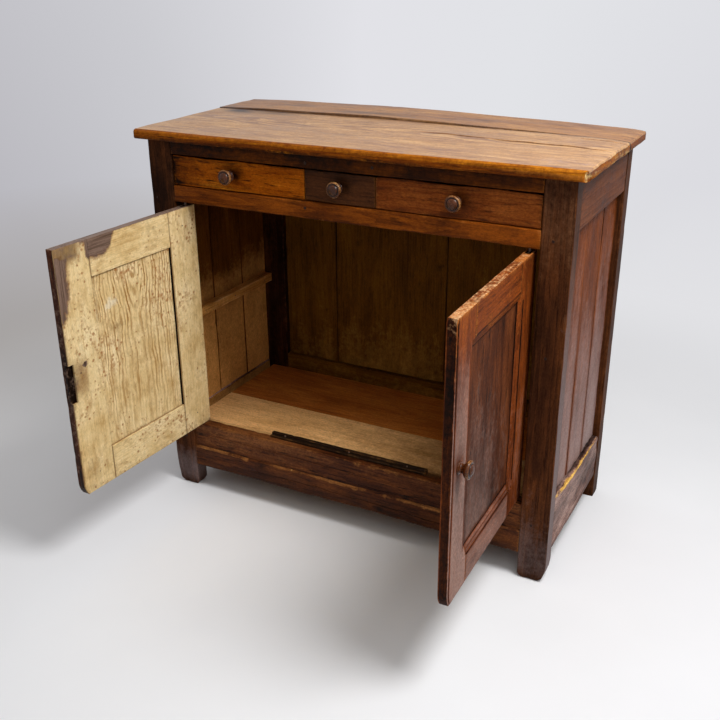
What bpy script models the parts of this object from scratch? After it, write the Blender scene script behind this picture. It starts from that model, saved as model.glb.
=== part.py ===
"""Country sideboard: joined case, two framed doors on pivot pins, three drawers. Metres, +Z up."""
import math

import bmesh
import bpy
from mathutils import Matrix, Vector

# Whole case
CASE_W = 1.070            # over the posts, left to right
CASE_D = 0.484            # front of front posts to back of rear posts
CASE_TOP = 0.982          # floor to the top surface
FIT = 0.0003              # gap between faces that touch
ARRIS = 0.0012            # eased edge on sawn boards

# Top
TOP_T = 0.0235
TOP_OVER_FRONT = 0.0186
TOP_OVER_SIDE = 0.022
TOP_OVER_BACK = 0.0205
TOP_BACK_BOARD = 0.178    # depth of the rear board
TOP_JOINT = 0.0008        # open joint between the two boards
TOP_SPLIT_BACK = 0.103    # shake in the front board, ahead of its rear edge
TOP_NOSE_UP = 0.0075      # rounding over the front edge
TOP_NOSE_LOW = 0.0050

# Posts
POST_W = 0.0685
POST_D = 0.041
REAR_W = 0.102
REAR_D = 0.045
FOOT_LEFT_CUT = 0.022     # worn outer corner of the front feet
FOOT_LEFT_RISE = 0.105
FOOT_RIGHT_CUT = 0.0165
FOOT_RIGHT_RISE = 0.046

# Front frame, the upper heights counted down from the top and the lower ones up from the floor
TOP_RAIL_H = 0.0312
DRAWER_H = 0.0770         # drawer opening
DRAWER_RAIL_H = 0.0396
SKIRT_LOW = 0.0664
SKIRT_H = 0.0611
BOTTOM_RAIL_H = 0.0695    # upper part of the bottom rail, above the skirt
TOP_RAIL_T = 0.030
DRAWER_RAIL_T = 0.034
BOTTOM_RAIL_T = 0.032
BOTTOM_RAIL_SET = 0.0045  # upper part of the bottom rail behind the skirt face
SKIRT_MOULD = 0.0075      # rounded top of the skirt
TENON_T = 0.010
TENON_L = 0.030
TENON_SHOULDER = 0.0065

# Sides and back
SIDE_RAIL_T = 0.034
SIDE_RAIL_SET = 0.0015    # rail face behind the post face
SIDE_RAIL_DROP = 0.0030   # upper side rail below the drawer rail's top
SIDE_SILL = 0.0163        # lower side rail above the bottom rail's top
SIDE_RAIL_LIFT = 0.0036   # lower side rail above the skirt's lower edge
SIDE_BOARD_T = 0.016
SIDE_BOARD_SET = 0.0165   # board face behind the post face
SIDE_JOINT_1 = 0.36       # joints as shares of the panel depth
SIDE_JOINT_2 = 0.69
GROOVE = 0.0095
TONGUE = 0.0085
BACK_RAIL_T = 0.035
BACK_RAIL_DROP = 0.0104   # upper back rail below the drawer rail
BACK_SILL = 0.0460        # lower back rail above the bottom rail's top
BACK_RAIL_LIFT = 0.0086   # lower back rail above the skirt's lower edge
BACK_BOARD_T = 0.012
BACK_BOARD_SET = 0.0165   # board face behind the rail's inner face
BACK_JOINTS = (0.20, 0.59, 0.96)
VEE = 0.0012              # half width and depth of a joint line

# Inside
FLOOR_T = 0.018
FLOOR_FRONT_REBATE = 0.010
FLOOR_FRONT_DEPTH = 0.186
FLOOR_DROP = 0.0005
CLEAT_UP = 0.2755         # underside above the bottom rail's top
CLEAT_H = 0.023
CLEAT_W = 0.024
CLEAT_FRONT = 0.070
STOP_LEFT = -0.2325
STOP_RIGHT = 0.214
STOP_H = 0.0115
STOP_D = 0.0185
STOP_GAP = 0.0010
DECK_T = 0.012

# Doors
DOOR_T = 0.0205
DOOR_UNDER = 0.0037       # over the bottom rail
DOOR_OVER = 0.0098        # under the drawer rail
DOOR_GAP = 0.0033         # hinge edge to post
MEET_GAP = 0.0020         # between the two closed doors
PIN_IN = 0.0205           # pin centre from the hinge edge
OPEN_LEFT = 93.0          # degrees open as built
OPEN_RIGHT = 91.0
STILE_W = 0.0985
DOOR_RAIL_W = 0.0865
DOOR_TENON_H = 0.046
DOOR_TENON_T = 0.0068
PANEL_T = 0.0075
PANEL_SET = 0.0080        # panel face behind the door face
MOULD_W = 0.0210          # stuck moulding round the panel
LOCK_UP = 0.2383          # above the door's lower edge
LOCK_H = 0.094
LOCK_W = 0.015
LOCK_DEEP = 0.0085
PIN_R = 0.0030
PIN_DEEP = 0.0085
PLATE_L = 0.036
PLATE_W = 0.013
PLATE_T = 0.0018

# Knobs
KNOB_R = 0.0185
KNOB_H = 0.0290
SPIGOT_R = 0.0060
SPIGOT_L = 0.0150
DOOR_KNOB_IN = 0.0365     # from the free edge
DOOR_KNOB_UP = 0.2963     # above the door's lower edge
TURN_STEPS = 24

# Drawers
DRAWER_GAP = 0.0020
DRAWER_SET = 0.0030       # front behind the rail face
FRONT_T = 0.020
DIVIDE_LEFT = -0.0944
DIVIDE_RIGHT = 0.0870
PARTITION_T = 0.015
BOX_GAP = 0.0015
BOX_SIDE_T = 0.010
BOX_BACK_T = 0.010
BOX_BOTTOM_T = 0.006
BOX_BOTTOM_UP = 0.006
BOX_HOUSE = 0.006         # side let into the back of the front
BOX_GROOVE = 0.0045
BOX_REAR_GAP = 0.031      # behind the box, to the rear posts
BOX_TOP_GAP = 0.0065
KNOB_SHIFTS = (-0.020, -0.003, 0.002)

# Derived places
HALF = CASE_W / 2
IN_X = HALF - POST_W
REAR_X = HALF - REAR_W
REAR_Y = CASE_D - REAR_D
UNDER_TOP = CASE_TOP - TOP_T - FIT
TOP_RAIL_LOW = UNDER_TOP - TOP_RAIL_H
DRAWER_RAIL_UP = TOP_RAIL_LOW - DRAWER_H
DRAWER_RAIL_LOW = DRAWER_RAIL_UP - DRAWER_RAIL_H
SKIRT_UP = SKIRT_LOW + SKIRT_H
BOTTOM_RAIL_UP = SKIRT_UP + BOTTOM_RAIL_H
SIDE_TOP_RAIL_LOW = DRAWER_RAIL_UP - SIDE_RAIL_DROP
SIDE_BOTTOM_RAIL_UP = BOTTOM_RAIL_UP + SIDE_SILL
SIDE_BOTTOM_RAIL_LOW = SKIRT_LOW + SIDE_RAIL_LIFT
BACK_TOP_RAIL_LOW = DRAWER_RAIL_LOW - BACK_RAIL_DROP
BACK_BOTTOM_RAIL_UP = BOTTOM_RAIL_UP + BACK_SILL
BACK_BOTTOM_RAIL_LOW = SKIRT_LOW + BACK_RAIL_LIFT
CLEAT_Z = BOTTOM_RAIL_UP + CLEAT_UP
DOOR_LOW = BOTTOM_RAIL_UP + DOOR_UNDER
DOOR_UP = DRAWER_RAIL_LOW - DOOR_OVER
LOCK_LOW = DOOR_LOW + LOCK_UP
DOOR_KNOB_Z = DOOR_LOW + DOOR_KNOB_UP
SIDE_OUT = HALF - SIDE_RAIL_SET
SIDE_IN = SIDE_OUT - SIDE_RAIL_T
BOARD_OUT = HALF - SIDE_BOARD_SET
BOARD_IN = BOARD_OUT - SIDE_BOARD_T
BACK_RAIL_Y = REAR_Y + FIT
BACK_BOARD_Y = BACK_RAIL_Y + BACK_BOARD_SET
FLOOR_Z = BOTTOM_RAIL_UP - FLOOR_DROP
DECK_Z = DRAWER_RAIL_UP - FIT
DOOR_W = (2 * IN_X - 2 * DOOR_GAP - MEET_GAP) / 2
PIN_X = IN_X - DOOR_GAP - PIN_IN
PIN_Y = DOOR_T / 2


def front_reach(angle):
    """Furthest forward a door comes when open by angle."""
    turn = math.radians(angle)
    reach = []
    for along in (-PIN_IN, DOOR_W - PIN_IN):
        for deep in (-DOOR_T / 2, DOOR_T / 2):
            reach.append(PIN_Y - along * math.sin(turn) + deep * math.cos(turn))
    return min(reach)


# The middle of the footprint, doors open, becomes the origin.
MIDDLE_Y = (min(front_reach(OPEN_LEFT), front_reach(OPEN_RIGHT)) + CASE_D + TOP_OVER_BACK) / 2

for old in list(bpy.data.objects):
    bpy.data.objects.remove(old, do_unlink=True)

parts = bpy.data.collections.new("sideboard")
tools = bpy.data.collections.new("cutters")
bpy.context.scene.collection.children.link(parts)
bpy.context.scene.collection.children.link(tools)
tools.hide_render = True

WOODS = {
    "top": ((0.30, 0.135, 0.050), 0.42),
    "top_back": ((0.17, 0.085, 0.055), 0.48),
    "post": ((0.045, 0.020, 0.013), 0.45),
    "rail": ((0.13, 0.048, 0.017), 0.45),
    "base": ((0.085, 0.032, 0.017), 0.50),
    "side": ((0.14, 0.058, 0.033), 0.50),
    "inside": ((0.16, 0.080, 0.026), 0.65),
    "floor_pale": ((0.42, 0.27, 0.13), 0.65),
    "floor_red": ((0.17, 0.072, 0.028), 0.60),
    "stop": ((0.030, 0.017, 0.011), 0.60),
    "cream": ((0.60, 0.47, 0.24), 0.60),
    "door": ((0.12, 0.045, 0.022), 0.45),
    "drawer_light": ((0.22, 0.082, 0.022), 0.40),
    "drawer_dark": ((0.060, 0.024, 0.014), 0.40),
    "drawer_mid": ((0.15, 0.052, 0.018), 0.40),
    "pine": ((0.36, 0.21, 0.10), 0.70),
    "knob": ((0.16, 0.055, 0.020), 0.35),
}


def dress(thing, wood):
    """Gives a piece its own material."""
    material = bpy.data.materials.new(thing.name + "_material")
    material.use_nodes = True
    shader = material.node_tree.nodes["Principled BSDF"]
    if wood == "iron":
        colour, rough, metal = (0.16, 0.145, 0.13), 0.45, 1.0
    else:
        colour, rough = WOODS[wood]
        metal = 0.0
    shader.inputs["Base Color"].default_value = (*colour, 1.0)
    shader.inputs["Roughness"].default_value = rough
    shader.inputs["Metallic"].default_value = metal
    material.diffuse_color = (*colour, 1.0)
    thing.data.materials.append(material)


def add_box(mesh, low, high, ease=0.0):
    """Adds a box between two corners, given in any order, with eased edges."""
    a = Vector([min(p, q) for p, q in zip(low, high)])
    b = Vector([max(p, q) for p, q in zip(low, high)])
    made = bmesh.ops.create_cube(mesh, size=1.0)["verts"]
    bmesh.ops.scale(mesh, vec=b - a, verts=made)
    bmesh.ops.translate(mesh, vec=(a + b) / 2, verts=made)
    if ease > 0:
        edges = list({edge for vert in made for edge in vert.link_edges})
        bmesh.ops.bevel(mesh, geom=edges, offset=ease, segments=1, profile=0.5, affect="EDGES")


def add_prism(mesh, outline, low, high, axis, ease=0.0):
    """Adds an outline drawn across an axis and drawn out along it; ease rounds the two end rims."""
    place = {
        "X": lambda p, t: (t, p[0], p[1]),
        "Y": lambda p, t: (p[0], t, p[1]),
        "Z": lambda p, t: (p[0], p[1], t),
    }[axis]
    near = [mesh.verts.new(place(p, min(low, high))) for p in outline]
    far = [mesh.verts.new(place(p, max(low, high))) for p in outline]
    caps = [mesh.faces.new(near), mesh.faces.new(list(reversed(far)))]
    faces = list(caps)
    for i in range(len(outline)):
        j = (i + 1) % len(outline)
        faces.append(mesh.faces.new((near[j], near[i], far[i], far[j])))
    bmesh.ops.recalc_face_normals(mesh, faces=faces)
    if ease > 0:
        rims = list({edge for cap in caps for edge in cap.edges})
        bmesh.ops.bevel(mesh, geom=rims, offset=ease, segments=1, profile=0.5, affect="EDGES")


def add_rod(mesh, centre, radius, low, high, axis, sides=16):
    """Adds a round rod along Z or Y."""
    made = bmesh.ops.create_cone(mesh, cap_ends=True, segments=sides, radius1=radius, radius2=radius,
                                 depth=abs(high - low))["verts"]
    if axis == "Y":
        bmesh.ops.rotate(mesh, cent=(0, 0, 0), matrix=Matrix.Rotation(math.radians(90), 3, "X"), verts=made)
        shift = (centre[0], (low + high) / 2, centre[1])
    else:
        shift = (centre[0], centre[1], (low + high) / 2)
    bmesh.ops.translate(mesh, vec=shift, verts=made)


class Body:
    """A rigid group: its empty stands on the joint axis and its pieces are drawn about that point."""

    def __init__(self, name, pivot, turn=0.0):
        self.pivot = Vector(pivot)
        self.empty = bpy.data.objects.new(name, None)
        parts.objects.link(self.empty)
        self.empty.location = self.pivot - Vector((0, MIDDLE_Y, 0))
        self.empty.rotation_euler = (0, 0, turn)

    def link(self, name, mesh, collection):
        data = bpy.data.meshes.new(name)
        bmesh.ops.translate(mesh, vec=-self.pivot, verts=mesh.verts)
        mesh.to_mesh(data)
        mesh.free()
        thing = bpy.data.objects.new(name, data)
        collection.objects.link(thing)
        thing.parent = self.empty
        return thing

    def piece(self, name, mesh, wood, added=None, cut=None):
        """Makes one named sub-part; added and cut are meshes joined on and taken away."""
        thing = self.link(name, mesh, parts)
        for tag, other, kind in (("add", added, "UNION"), ("cut", cut, "DIFFERENCE")):
            if other is None:
                continue
            tool = self.link(name + "_" + tag, other, tools)
            tool.hide_render = True
            tool.display_type = "WIRE"
            step = thing.modifiers.new(tag, "BOOLEAN")
            step.operation = kind
            step.solver = "EXACT"
            step.object = tool
        dress(thing, wood)
        return thing


case = Body("case", (0, 0, 0))


def foot_curve(cut, rise):
    """Inset of the worn outer corner at rising heights."""
    shares = (0.0, 0.2, 0.45, 0.7, 1.0)
    return [(cut * (1 - share) ** 1.7, rise * share) for share in shares]


def rail_tenon(low, high):
    """Tenon height range inside a front rail."""
    return low + TENON_SHOULDER, high - TENON_SHOULDER


FRONT_TENON_Y = POST_D * 0.28
RAILS = (
    ("top", TOP_RAIL_LOW, UNDER_TOP),
    ("drawer", DRAWER_RAIL_LOW, DRAWER_RAIL_UP),
    ("bottom", SKIRT_LOW, BOTTOM_RAIL_UP),
)
SIDE_TENON_X = (SIDE_OUT + SIDE_IN) / 2 - TENON_T / 2
SIDE_TENON_L = 0.5 * POST_D
SIDE_RAILS = (
    ("top", SIDE_TOP_RAIL_LOW, UNDER_TOP),
    ("bottom", SIDE_BOTTOM_RAIL_LOW, SIDE_BOTTOM_RAIL_UP),
)
SIDE_TENON_SHOULDER = TONGUE + 0.006
BACK_TENON_Y = BACK_RAIL_Y + 0.30 * BACK_RAIL_T
BACK_RAILS = (
    ("top", BACK_TOP_RAIL_LOW, UNDER_TOP),
    ("bottom", BACK_BOTTOM_RAIL_LOW, BACK_BOTTOM_RAIL_UP),
)


def side_board_box(grow):
    """Outline box of a side panel for +X, grown all round."""
    return (
        (BOARD_IN - grow, POST_D - TONGUE - grow, SIDE_BOTTOM_RAIL_UP - TONGUE - grow),
        (BOARD_OUT + grow, REAR_Y + TONGUE + grow, SIDE_TOP_RAIL_LOW + TONGUE + grow),
    )


def back_board_box(grow):
    """Outline box of the back panel, grown all round."""
    return (
        (-REAR_X - TONGUE - grow, BACK_BOARD_Y - grow, BACK_BOTTOM_RAIL_UP - TONGUE - grow),
        (REAR_X + TONGUE + grow, BACK_BOARD_Y + BACK_BOARD_T + grow, BACK_TOP_RAIL_LOW + TONGUE + grow),
    )


def mirrored(corners, side):
    """The same box on the other side of the middle."""
    return [(side * c[0], c[1], c[2]) for c in corners]


# Posts with their mortises and panel grooves.
for side, word, cut_in, cut_rise in ((-1, "left", FOOT_LEFT_CUT, FOOT_LEFT_RISE),
                                     (1, "right", FOOT_RIGHT_CUT, FOOT_RIGHT_RISE)):
    outline = [(side * IN_X, UNDER_TOP), (side * IN_X, 0.003), (side * (IN_X + 0.003), 0.0)]
    for inset, rise in foot_curve(cut_in, cut_rise):
        outline.append((side * (HALF - inset), rise))
    outline.append((side * HALF, UNDER_TOP))
    body = bmesh.new()
    add_prism(body, outline, 0.0, POST_D, "Y", ARRIS)
    holes = bmesh.new()
    for word_rail, low, high in RAILS:
        z0, z1 = rail_tenon(low, high)
        add_box(holes, (side * (IN_X - 0.004), FRONT_TENON_Y - FIT, z0 - FIT),
                (side * (IN_X + TENON_L + FIT), FRONT_TENON_Y + TENON_T + FIT, z1 + FIT))
    for word_rail, low, high in SIDE_RAILS:
        add_box(holes, (side * (SIDE_TENON_X - FIT), POST_D - SIDE_TENON_L - FIT, low + SIDE_TENON_SHOULDER - FIT),
                (side * (SIDE_TENON_X + TENON_T + FIT), POST_D + 0.004, high - SIDE_TENON_SHOULDER + FIT))
    add_box(holes, *mirrored(side_board_box(FIT), side))
    case.piece("post_front_" + word, body, "post", cut=holes)

    body = bmesh.new()
    add_box(body, (side * REAR_X, REAR_Y, 0.0), (side * HALF, CASE_D, UNDER_TOP), ARRIS)
    holes = bmesh.new()
    for word_rail, low, high in SIDE_RAILS:
        add_box(holes, (side * (SIDE_TENON_X - FIT), REAR_Y - 0.004, low + SIDE_TENON_SHOULDER - FIT),
                (side * (SIDE_TENON_X + TENON_T + FIT), REAR_Y + SIDE_TENON_L + FIT, high - SIDE_TENON_SHOULDER + FIT))
    for word_rail, low, high in BACK_RAILS:
        add_box(holes, (side * (REAR_X - 0.004), BACK_TENON_Y - FIT, low + SIDE_TENON_SHOULDER - FIT),
                (side * (REAR_X + TENON_L + FIT), BACK_TENON_Y + TENON_T + FIT, high - SIDE_TENON_SHOULDER + FIT))
    add_box(holes, *mirrored(side_board_box(FIT), side))
    add_box(holes, *back_board_box(FIT))
    case.piece("post_rear_" + word, body, "post", cut=holes)

    # Side rails, grooved for the boards; the lower one also takes the floor ends.
    for word_rail, low, high in SIDE_RAILS:
        body = bmesh.new()
        add_box(body, (side * SIDE_IN, POST_D + FIT, low), (side * SIDE_OUT, REAR_Y - FIT, high), ARRIS)
        tenons = bmesh.new()
        add_box(tenons, (side * SIDE_TENON_X, POST_D - SIDE_TENON_L, low + SIDE_TENON_SHOULDER),
                (side * (SIDE_TENON_X + TENON_T), REAR_Y + SIDE_TENON_L, high - SIDE_TENON_SHOULDER))
        holes = bmesh.new()
        add_box(holes, *mirrored(side_board_box(FIT), side))
        if word_rail == "bottom":
            add_box(holes, (side * (SIDE_IN - 0.004), 0.0, FLOOR_Z - FLOOR_T - FIT),
                    (side * (SIDE_IN + TONGUE + FIT), CASE_D, FLOOR_Z + FIT))
        case.piece("side_" + word_rail + "_rail_" + word, body, "side", added=tenons, cut=holes)

    # Side panel: three upright boards glued edge to edge, joints showing as fine vees.
    (x0, y0, z0), (x1, y1, z1) = side_board_box(0.0)
    joints = [y0 + (y1 - y0) * share for share in (SIDE_JOINT_1, SIDE_JOINT_2)]
    outline = [(side * x0, y0)]
    for y in joints:
        outline += [(side * x0, y - VEE), (side * (x0 + VEE), y), (side * x0, y + VEE)]
    outline += [(side * x0, y1), (side * x1, y1)]
    for y in reversed(joints):
        outline += [(side * x1, y + VEE), (side * (x1 - VEE), y), (side * x1, y - VEE)]
    outline.append((side * x1, y0))
    body = bmesh.new()
    add_prism(body, outline, z0, z1, "Z")
    case.piece("side_panel_" + word, body, "side")

    # Shelf cleat on the boards.
    body = bmesh.new()
    add_box(body, (side * (BOARD_IN - FIT), CLEAT_FRONT, CLEAT_Z),
            (side * (BOARD_IN - FIT - CLEAT_W), REAR_Y - FIT, CLEAT_Z + CLEAT_H), ARRIS)
    case.piece("shelf_cleat_" + word, body, "inside")

# Front rails.
for word, low, high in RAILS:
    z0, z1 = rail_tenon(low, high)
    tenons = bmesh.new()
    add_box(tenons, (-IN_X - TENON_L, FRONT_TENON_Y, z0), (IN_X + TENON_L, FRONT_TENON_Y + TENON_T, z1))
    body = bmesh.new()
    holes = None
    edge = IN_X - FIT
    if word == "top":
        add_box(body, (-edge, 0.0, low), (edge, TOP_RAIL_T, high), ARRIS)
    if word == "drawer":
        add_box(body, (-edge, 0.0, low), (edge, DRAWER_RAIL_T, high), ARRIS)
        holes = bmesh.new()
        add_box(holes, (-CASE_W, DRAWER_RAIL_T - TONGUE - FIT, DECK_Z - DECK_T - FIT),
                (CASE_W, DRAWER_RAIL_T + 0.004, DECK_Z + FIT * 3))
        for side in (-1, 1):
            add_rod(holes, (side * PIN_X, PIN_Y), PIN_R + FIT, low - 0.004, low + PIN_DEEP + FIT, "Z")
    if word == "bottom":
        back = BOTTOM_RAIL_T
        outline = [(back, low), (ARRIS, low), (0.0, low + ARRIS), (0.0, SKIRT_UP - SKIRT_MOULD)]
        for turn in (30, 60):
            angle = math.radians(turn)
            outline.append((BOTTOM_RAIL_SET * (1 - math.cos(angle)),
                            SKIRT_UP - SKIRT_MOULD + SKIRT_MOULD * math.sin(angle)))
        outline += [(BOTTOM_RAIL_SET, SKIRT_UP), (BOTTOM_RAIL_SET, high - ARRIS), (BOTTOM_RAIL_SET + ARRIS, high),
                    (back - FLOOR_FRONT_REBATE, high), (back - FLOOR_FRONT_REBATE, FLOOR_Z - FLOOR_T - FIT),
                    (back, FLOOR_Z - FLOOR_T - FIT)]
        add_prism(body, outline, -edge, edge, "X")
        holes = bmesh.new()
        for side in (-1, 1):
            add_rod(holes, (side * PIN_X, PIN_Y), PIN_R + FIT, high - PIN_DEEP - FIT, high + 0.004, "Z")
    wood = "base" if word == "bottom" else "rail"
    case.piece(word + "_rail_front", body, wood, added=tenons, cut=holes)

# Back rails and back panel.
for word, low, high in BACK_RAILS:
    tenons = bmesh.new()
    add_box(tenons, (-REAR_X - TENON_L, BACK_TENON_Y, low + SIDE_TENON_SHOULDER),
            (REAR_X + TENON_L, BACK_TENON_Y + TENON_T, high - SIDE_TENON_SHOULDER))
    body = bmesh.new()
    add_box(body, (-REAR_X + FIT, BACK_RAIL_Y, low), (REAR_X - FIT, BACK_RAIL_Y + BACK_RAIL_T, high), ARRIS)
    holes = bmesh.new()
    add_box(holes, *back_board_box(FIT))
    if word == "top":
        add_box(holes, (-CASE_W, BACK_RAIL_Y - 0.004, DECK_Z - DECK_T - FIT),
                (CASE_W, BACK_RAIL_Y + TONGUE + FIT, DECK_Z + FIT))
    else:
        add_box(holes, (-CASE_W, BACK_RAIL_Y - 0.004, FLOOR_Z - FLOOR_T - FIT),
                (CASE_W, BACK_RAIL_Y + TONGUE + FIT, FLOOR_Z + FIT))
    case.piece("back_" + word + "_rail", body, "inside", added=tenons, cut=holes)

(x0, y0, z0), (x1, y1, z1) = back_board_box(0.0)
joints = [x0 + (x1 - x0) * share for share in BACK_JOINTS]
outline = [(x0, y0)]
for x in joints:
    outline += [(x - VEE, y0), (x, y0 + VEE), (x + VEE, y0)]
outline += [(x1, y0), (x1, y1)]
for x in reversed(joints):
    outline += [(x + VEE, y1), (x, y1 - VEE), (x - VEE, y1)]
outline.append((x0, y1))
body = bmesh.new()
add_prism(body, outline, z0, z1, "Z")
case.piece("back_panel", body, "inside")

# Floor: a pale front plank let into the bottom rail, and a back board into the back rail.
floor_front = BOTTOM_RAIL_T - FLOOR_FRONT_REBATE + FIT
floor_split = floor_front + FLOOR_FRONT_DEPTH
ends = SIDE_IN + TONGUE
outline = [(-IN_X + FIT, floor_front), (IN_X - FIT, floor_front), (IN_X - FIT, POST_D + FIT), (ends, POST_D + FIT),
           (ends, floor_split), (-ends, floor_split), (-ends, POST_D + FIT), (-IN_X + FIT, POST_D + FIT)]
body = bmesh.new()
add_prism(body, outline, FLOOR_Z - FLOOR_T, FLOOR_Z, "Z")
case.piece("floor_board_front", body, "floor_pale")
outline = [(-ends, floor_split + FIT), (ends, floor_split + FIT), (ends, REAR_Y - FIT), (REAR_X - FIT, REAR_Y - FIT),
           (REAR_X - FIT, BACK_RAIL_Y + TONGUE), (-REAR_X + FIT, BACK_RAIL_Y + TONGUE), (-REAR_X + FIT, REAR_Y - FIT),
           (-ends, REAR_Y - FIT)]
body = bmesh.new()
add_prism(body, outline, FLOOR_Z - FLOOR_T, FLOOR_Z, "Z")
case.piece("floor_board_back", body, "floor_red")

# Door stop nailed along the front of the floor.
stop_y = DOOR_T + STOP_GAP
stop_z = BOTTOM_RAIL_UP + FIT
outline = [(stop_y, stop_z), (stop_y + STOP_D, stop_z), (stop_y + STOP_D, stop_z + STOP_H),
           (stop_y + STOP_D * 0.48, stop_z + STOP_H), (stop_y + STOP_D * 0.42, stop_z + STOP_H * 0.60),
           (stop_y, stop_z + STOP_H * 0.52)]
body = bmesh.new()
add_prism(body, outline, STOP_LEFT, STOP_RIGHT, "X", ARRIS * 0.5)
case.piece("door_stop", body, "stop")

# Deck under the drawers and the partitions between them.
side_edge = SIDE_IN - FIT
outline = [(-IN_X + FIT, DRAWER_RAIL_T - TONGUE), (IN_X - FIT, DRAWER_RAIL_T - TONGUE), (IN_X - FIT, POST_D + FIT),
           (side_edge, POST_D + FIT), (side_edge, REAR_Y - FIT), (REAR_X - FIT, REAR_Y - FIT),
           (REAR_X - FIT, BACK_RAIL_Y + TONGUE), (-REAR_X + FIT, BACK_RAIL_Y + TONGUE), (-REAR_X + FIT, REAR_Y - FIT),
           (-side_edge, REAR_Y - FIT), (-side_edge, POST_D + FIT), (-IN_X + FIT, POST_D + FIT)]
body = bmesh.new()
add_prism(body, outline, DECK_Z - DECK_T, DECK_Z, "Z")
case.piece("drawer_deck", body, "inside")
partition_front = DRAWER_SET + FRONT_T + BOX_GAP
for word, x in (("left", DIVIDE_LEFT), ("right", DIVIDE_RIGHT)):
    outline = [(partition_front, DRAWER_RAIL_UP + FIT), (REAR_Y, DRAWER_RAIL_UP + FIT), (REAR_Y, UNDER_TOP),
               (TOP_RAIL_T + FIT, UNDER_TOP), (TOP_RAIL_T + FIT, TOP_RAIL_LOW - FIT), (partition_front, TOP_RAIL_LOW - FIT)]
    body = bmesh.new()
    add_prism(body, outline, x - PARTITION_T / 2, x + PARTITION_T / 2, "X")
    case.piece("drawer_partition_" + word, body, "inside")

# Top: a wide front board with a rounded nose and an open shake, and a narrower rear board.
top_x = HALF + TOP_OVER_SIDE
top_low = CASE_TOP - TOP_T
top_back = CASE_D + TOP_OVER_BACK
top_split = top_back - TOP_BACK_BOARD
nose = -TOP_OVER_FRONT
shake = top_split - TOP_SPLIT_BACK
outline = [(top_split - TOP_JOINT, top_low), (nose + TOP_NOSE_LOW, top_low)]
for turn in (30, 60, 90):
    angle = math.radians(turn)
    outline.append((nose + TOP_NOSE_LOW * (1 - math.sin(angle)), top_low + TOP_NOSE_LOW * (1 - math.cos(angle))))
for turn in (0, 22, 45, 68, 90):
    angle = math.radians(turn)
    outline.append((nose + TOP_NOSE_UP * (1 - math.cos(angle)), CASE_TOP - TOP_NOSE_UP * (1 - math.sin(angle))))
outline += [(shake - VEE, CASE_TOP), (shake, CASE_TOP - 2.2 * VEE), (shake + VEE, CASE_TOP)]
outline += [(top_split - TOP_JOINT - ARRIS, CASE_TOP), (top_split - TOP_JOINT, CASE_TOP - ARRIS)]
body = bmesh.new()
add_prism(body, outline, -top_x, top_x, "X", ARRIS * 0.7)
case.piece("top_board_front", body, "top")
body = bmesh.new()
add_box(body, (-top_x, top_split, top_low), (top_x, top_back, CASE_TOP), ARRIS)
case.piece("top_board_back", body, "top_back")

# Turned knob, drawn as a half profile from the crown down to the spigot.
KNOB_PROFILE = (
    (0.0, 1.0), (0.25, 0.985), (0.48, 0.94), (0.63, 0.875), (0.66, 0.82), (0.74, 0.80), (0.80, 0.835),
    (0.93, 0.80), (1.0, 0.70), (0.97, 0.58), (0.80, 0.46), (0.56, 0.36), (0.46, 0.24), (0.52, 0.13),
    (0.70, 0.08), (0.70, 0.0),
)


def knob(body_of, name, x, face_y, z):
    """A knob whose spigot goes into a face that looks along -Y."""
    rows = [(KNOB_R * r, KNOB_H * h + FIT) for r, h in KNOB_PROFILE]
    rows += [(SPIGOT_R, FIT), (SPIGOT_R, -SPIGOT_L), (0.0, -SPIGOT_L)]
    data = bpy.data.meshes.new(name)
    data.from_pydata([(r, 0.0, h) for r, h in rows], [(i, i + 1) for i in range(len(rows) - 1)], [])
    thing = bpy.data.objects.new(name, data)
    parts.objects.link(thing)
    thing.parent = body_of.empty
    thing.location = Vector((x, face_y, z)) - body_of.pivot
    thing.rotation_euler = (math.radians(90), 0, 0)
    turn = thing.modifiers.new("turned", "SCREW")
    turn.axis = "Z"
    turn.steps = TURN_STEPS
    turn.render_steps = TURN_STEPS
    turn.use_merge_vertices = True
    turn.merge_threshold = 0.00005
    turn.use_smooth_shade = True
    dress(thing, "knob")
    return thing


def spigot_hole(holes, x, face_y, z):
    """Hole for a knob's spigot."""
    add_rod(holes, (x, z), SPIGOT_R + FIT, face_y - 0.004, face_y + SPIGOT_L + FIT, "Y", TURN_STEPS)


def moulding_cutter(mesh, x_low, x_high, z_low, z_high):
    """Hollow round the panel: a quirk at the door face, then a rounded fall to the panel."""
    rows = ((1.0, -0.004), (1.0, 0.0014), (0.82, 0.0020), (0.52, 0.0032), (0.24, 0.0050), (0.06, 0.0066), (0.0, 0.0070))
    last = None
    for share, deep in rows:
        w = MOULD_W * share - (0.0006 if share == 0.0 else 0.0)
        ring = [mesh.verts.new(p) for p in ((x_low - w, deep, z_low - w), (x_high + w, deep, z_low - w),
                                            (x_high + w, deep, z_high + w), (x_low - w, deep, z_high + w))]
        if last is None:
            mesh.faces.new(ring)
        else:
            for i in range(4):
                j = (i + 1) % 4
                mesh.faces.new((last[i], last[j], ring[j], ring[i]))
        last = ring
    mesh.faces.new(list(reversed(last)))
    bmesh.ops.recalc_face_normals(mesh, faces=mesh.faces)


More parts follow.
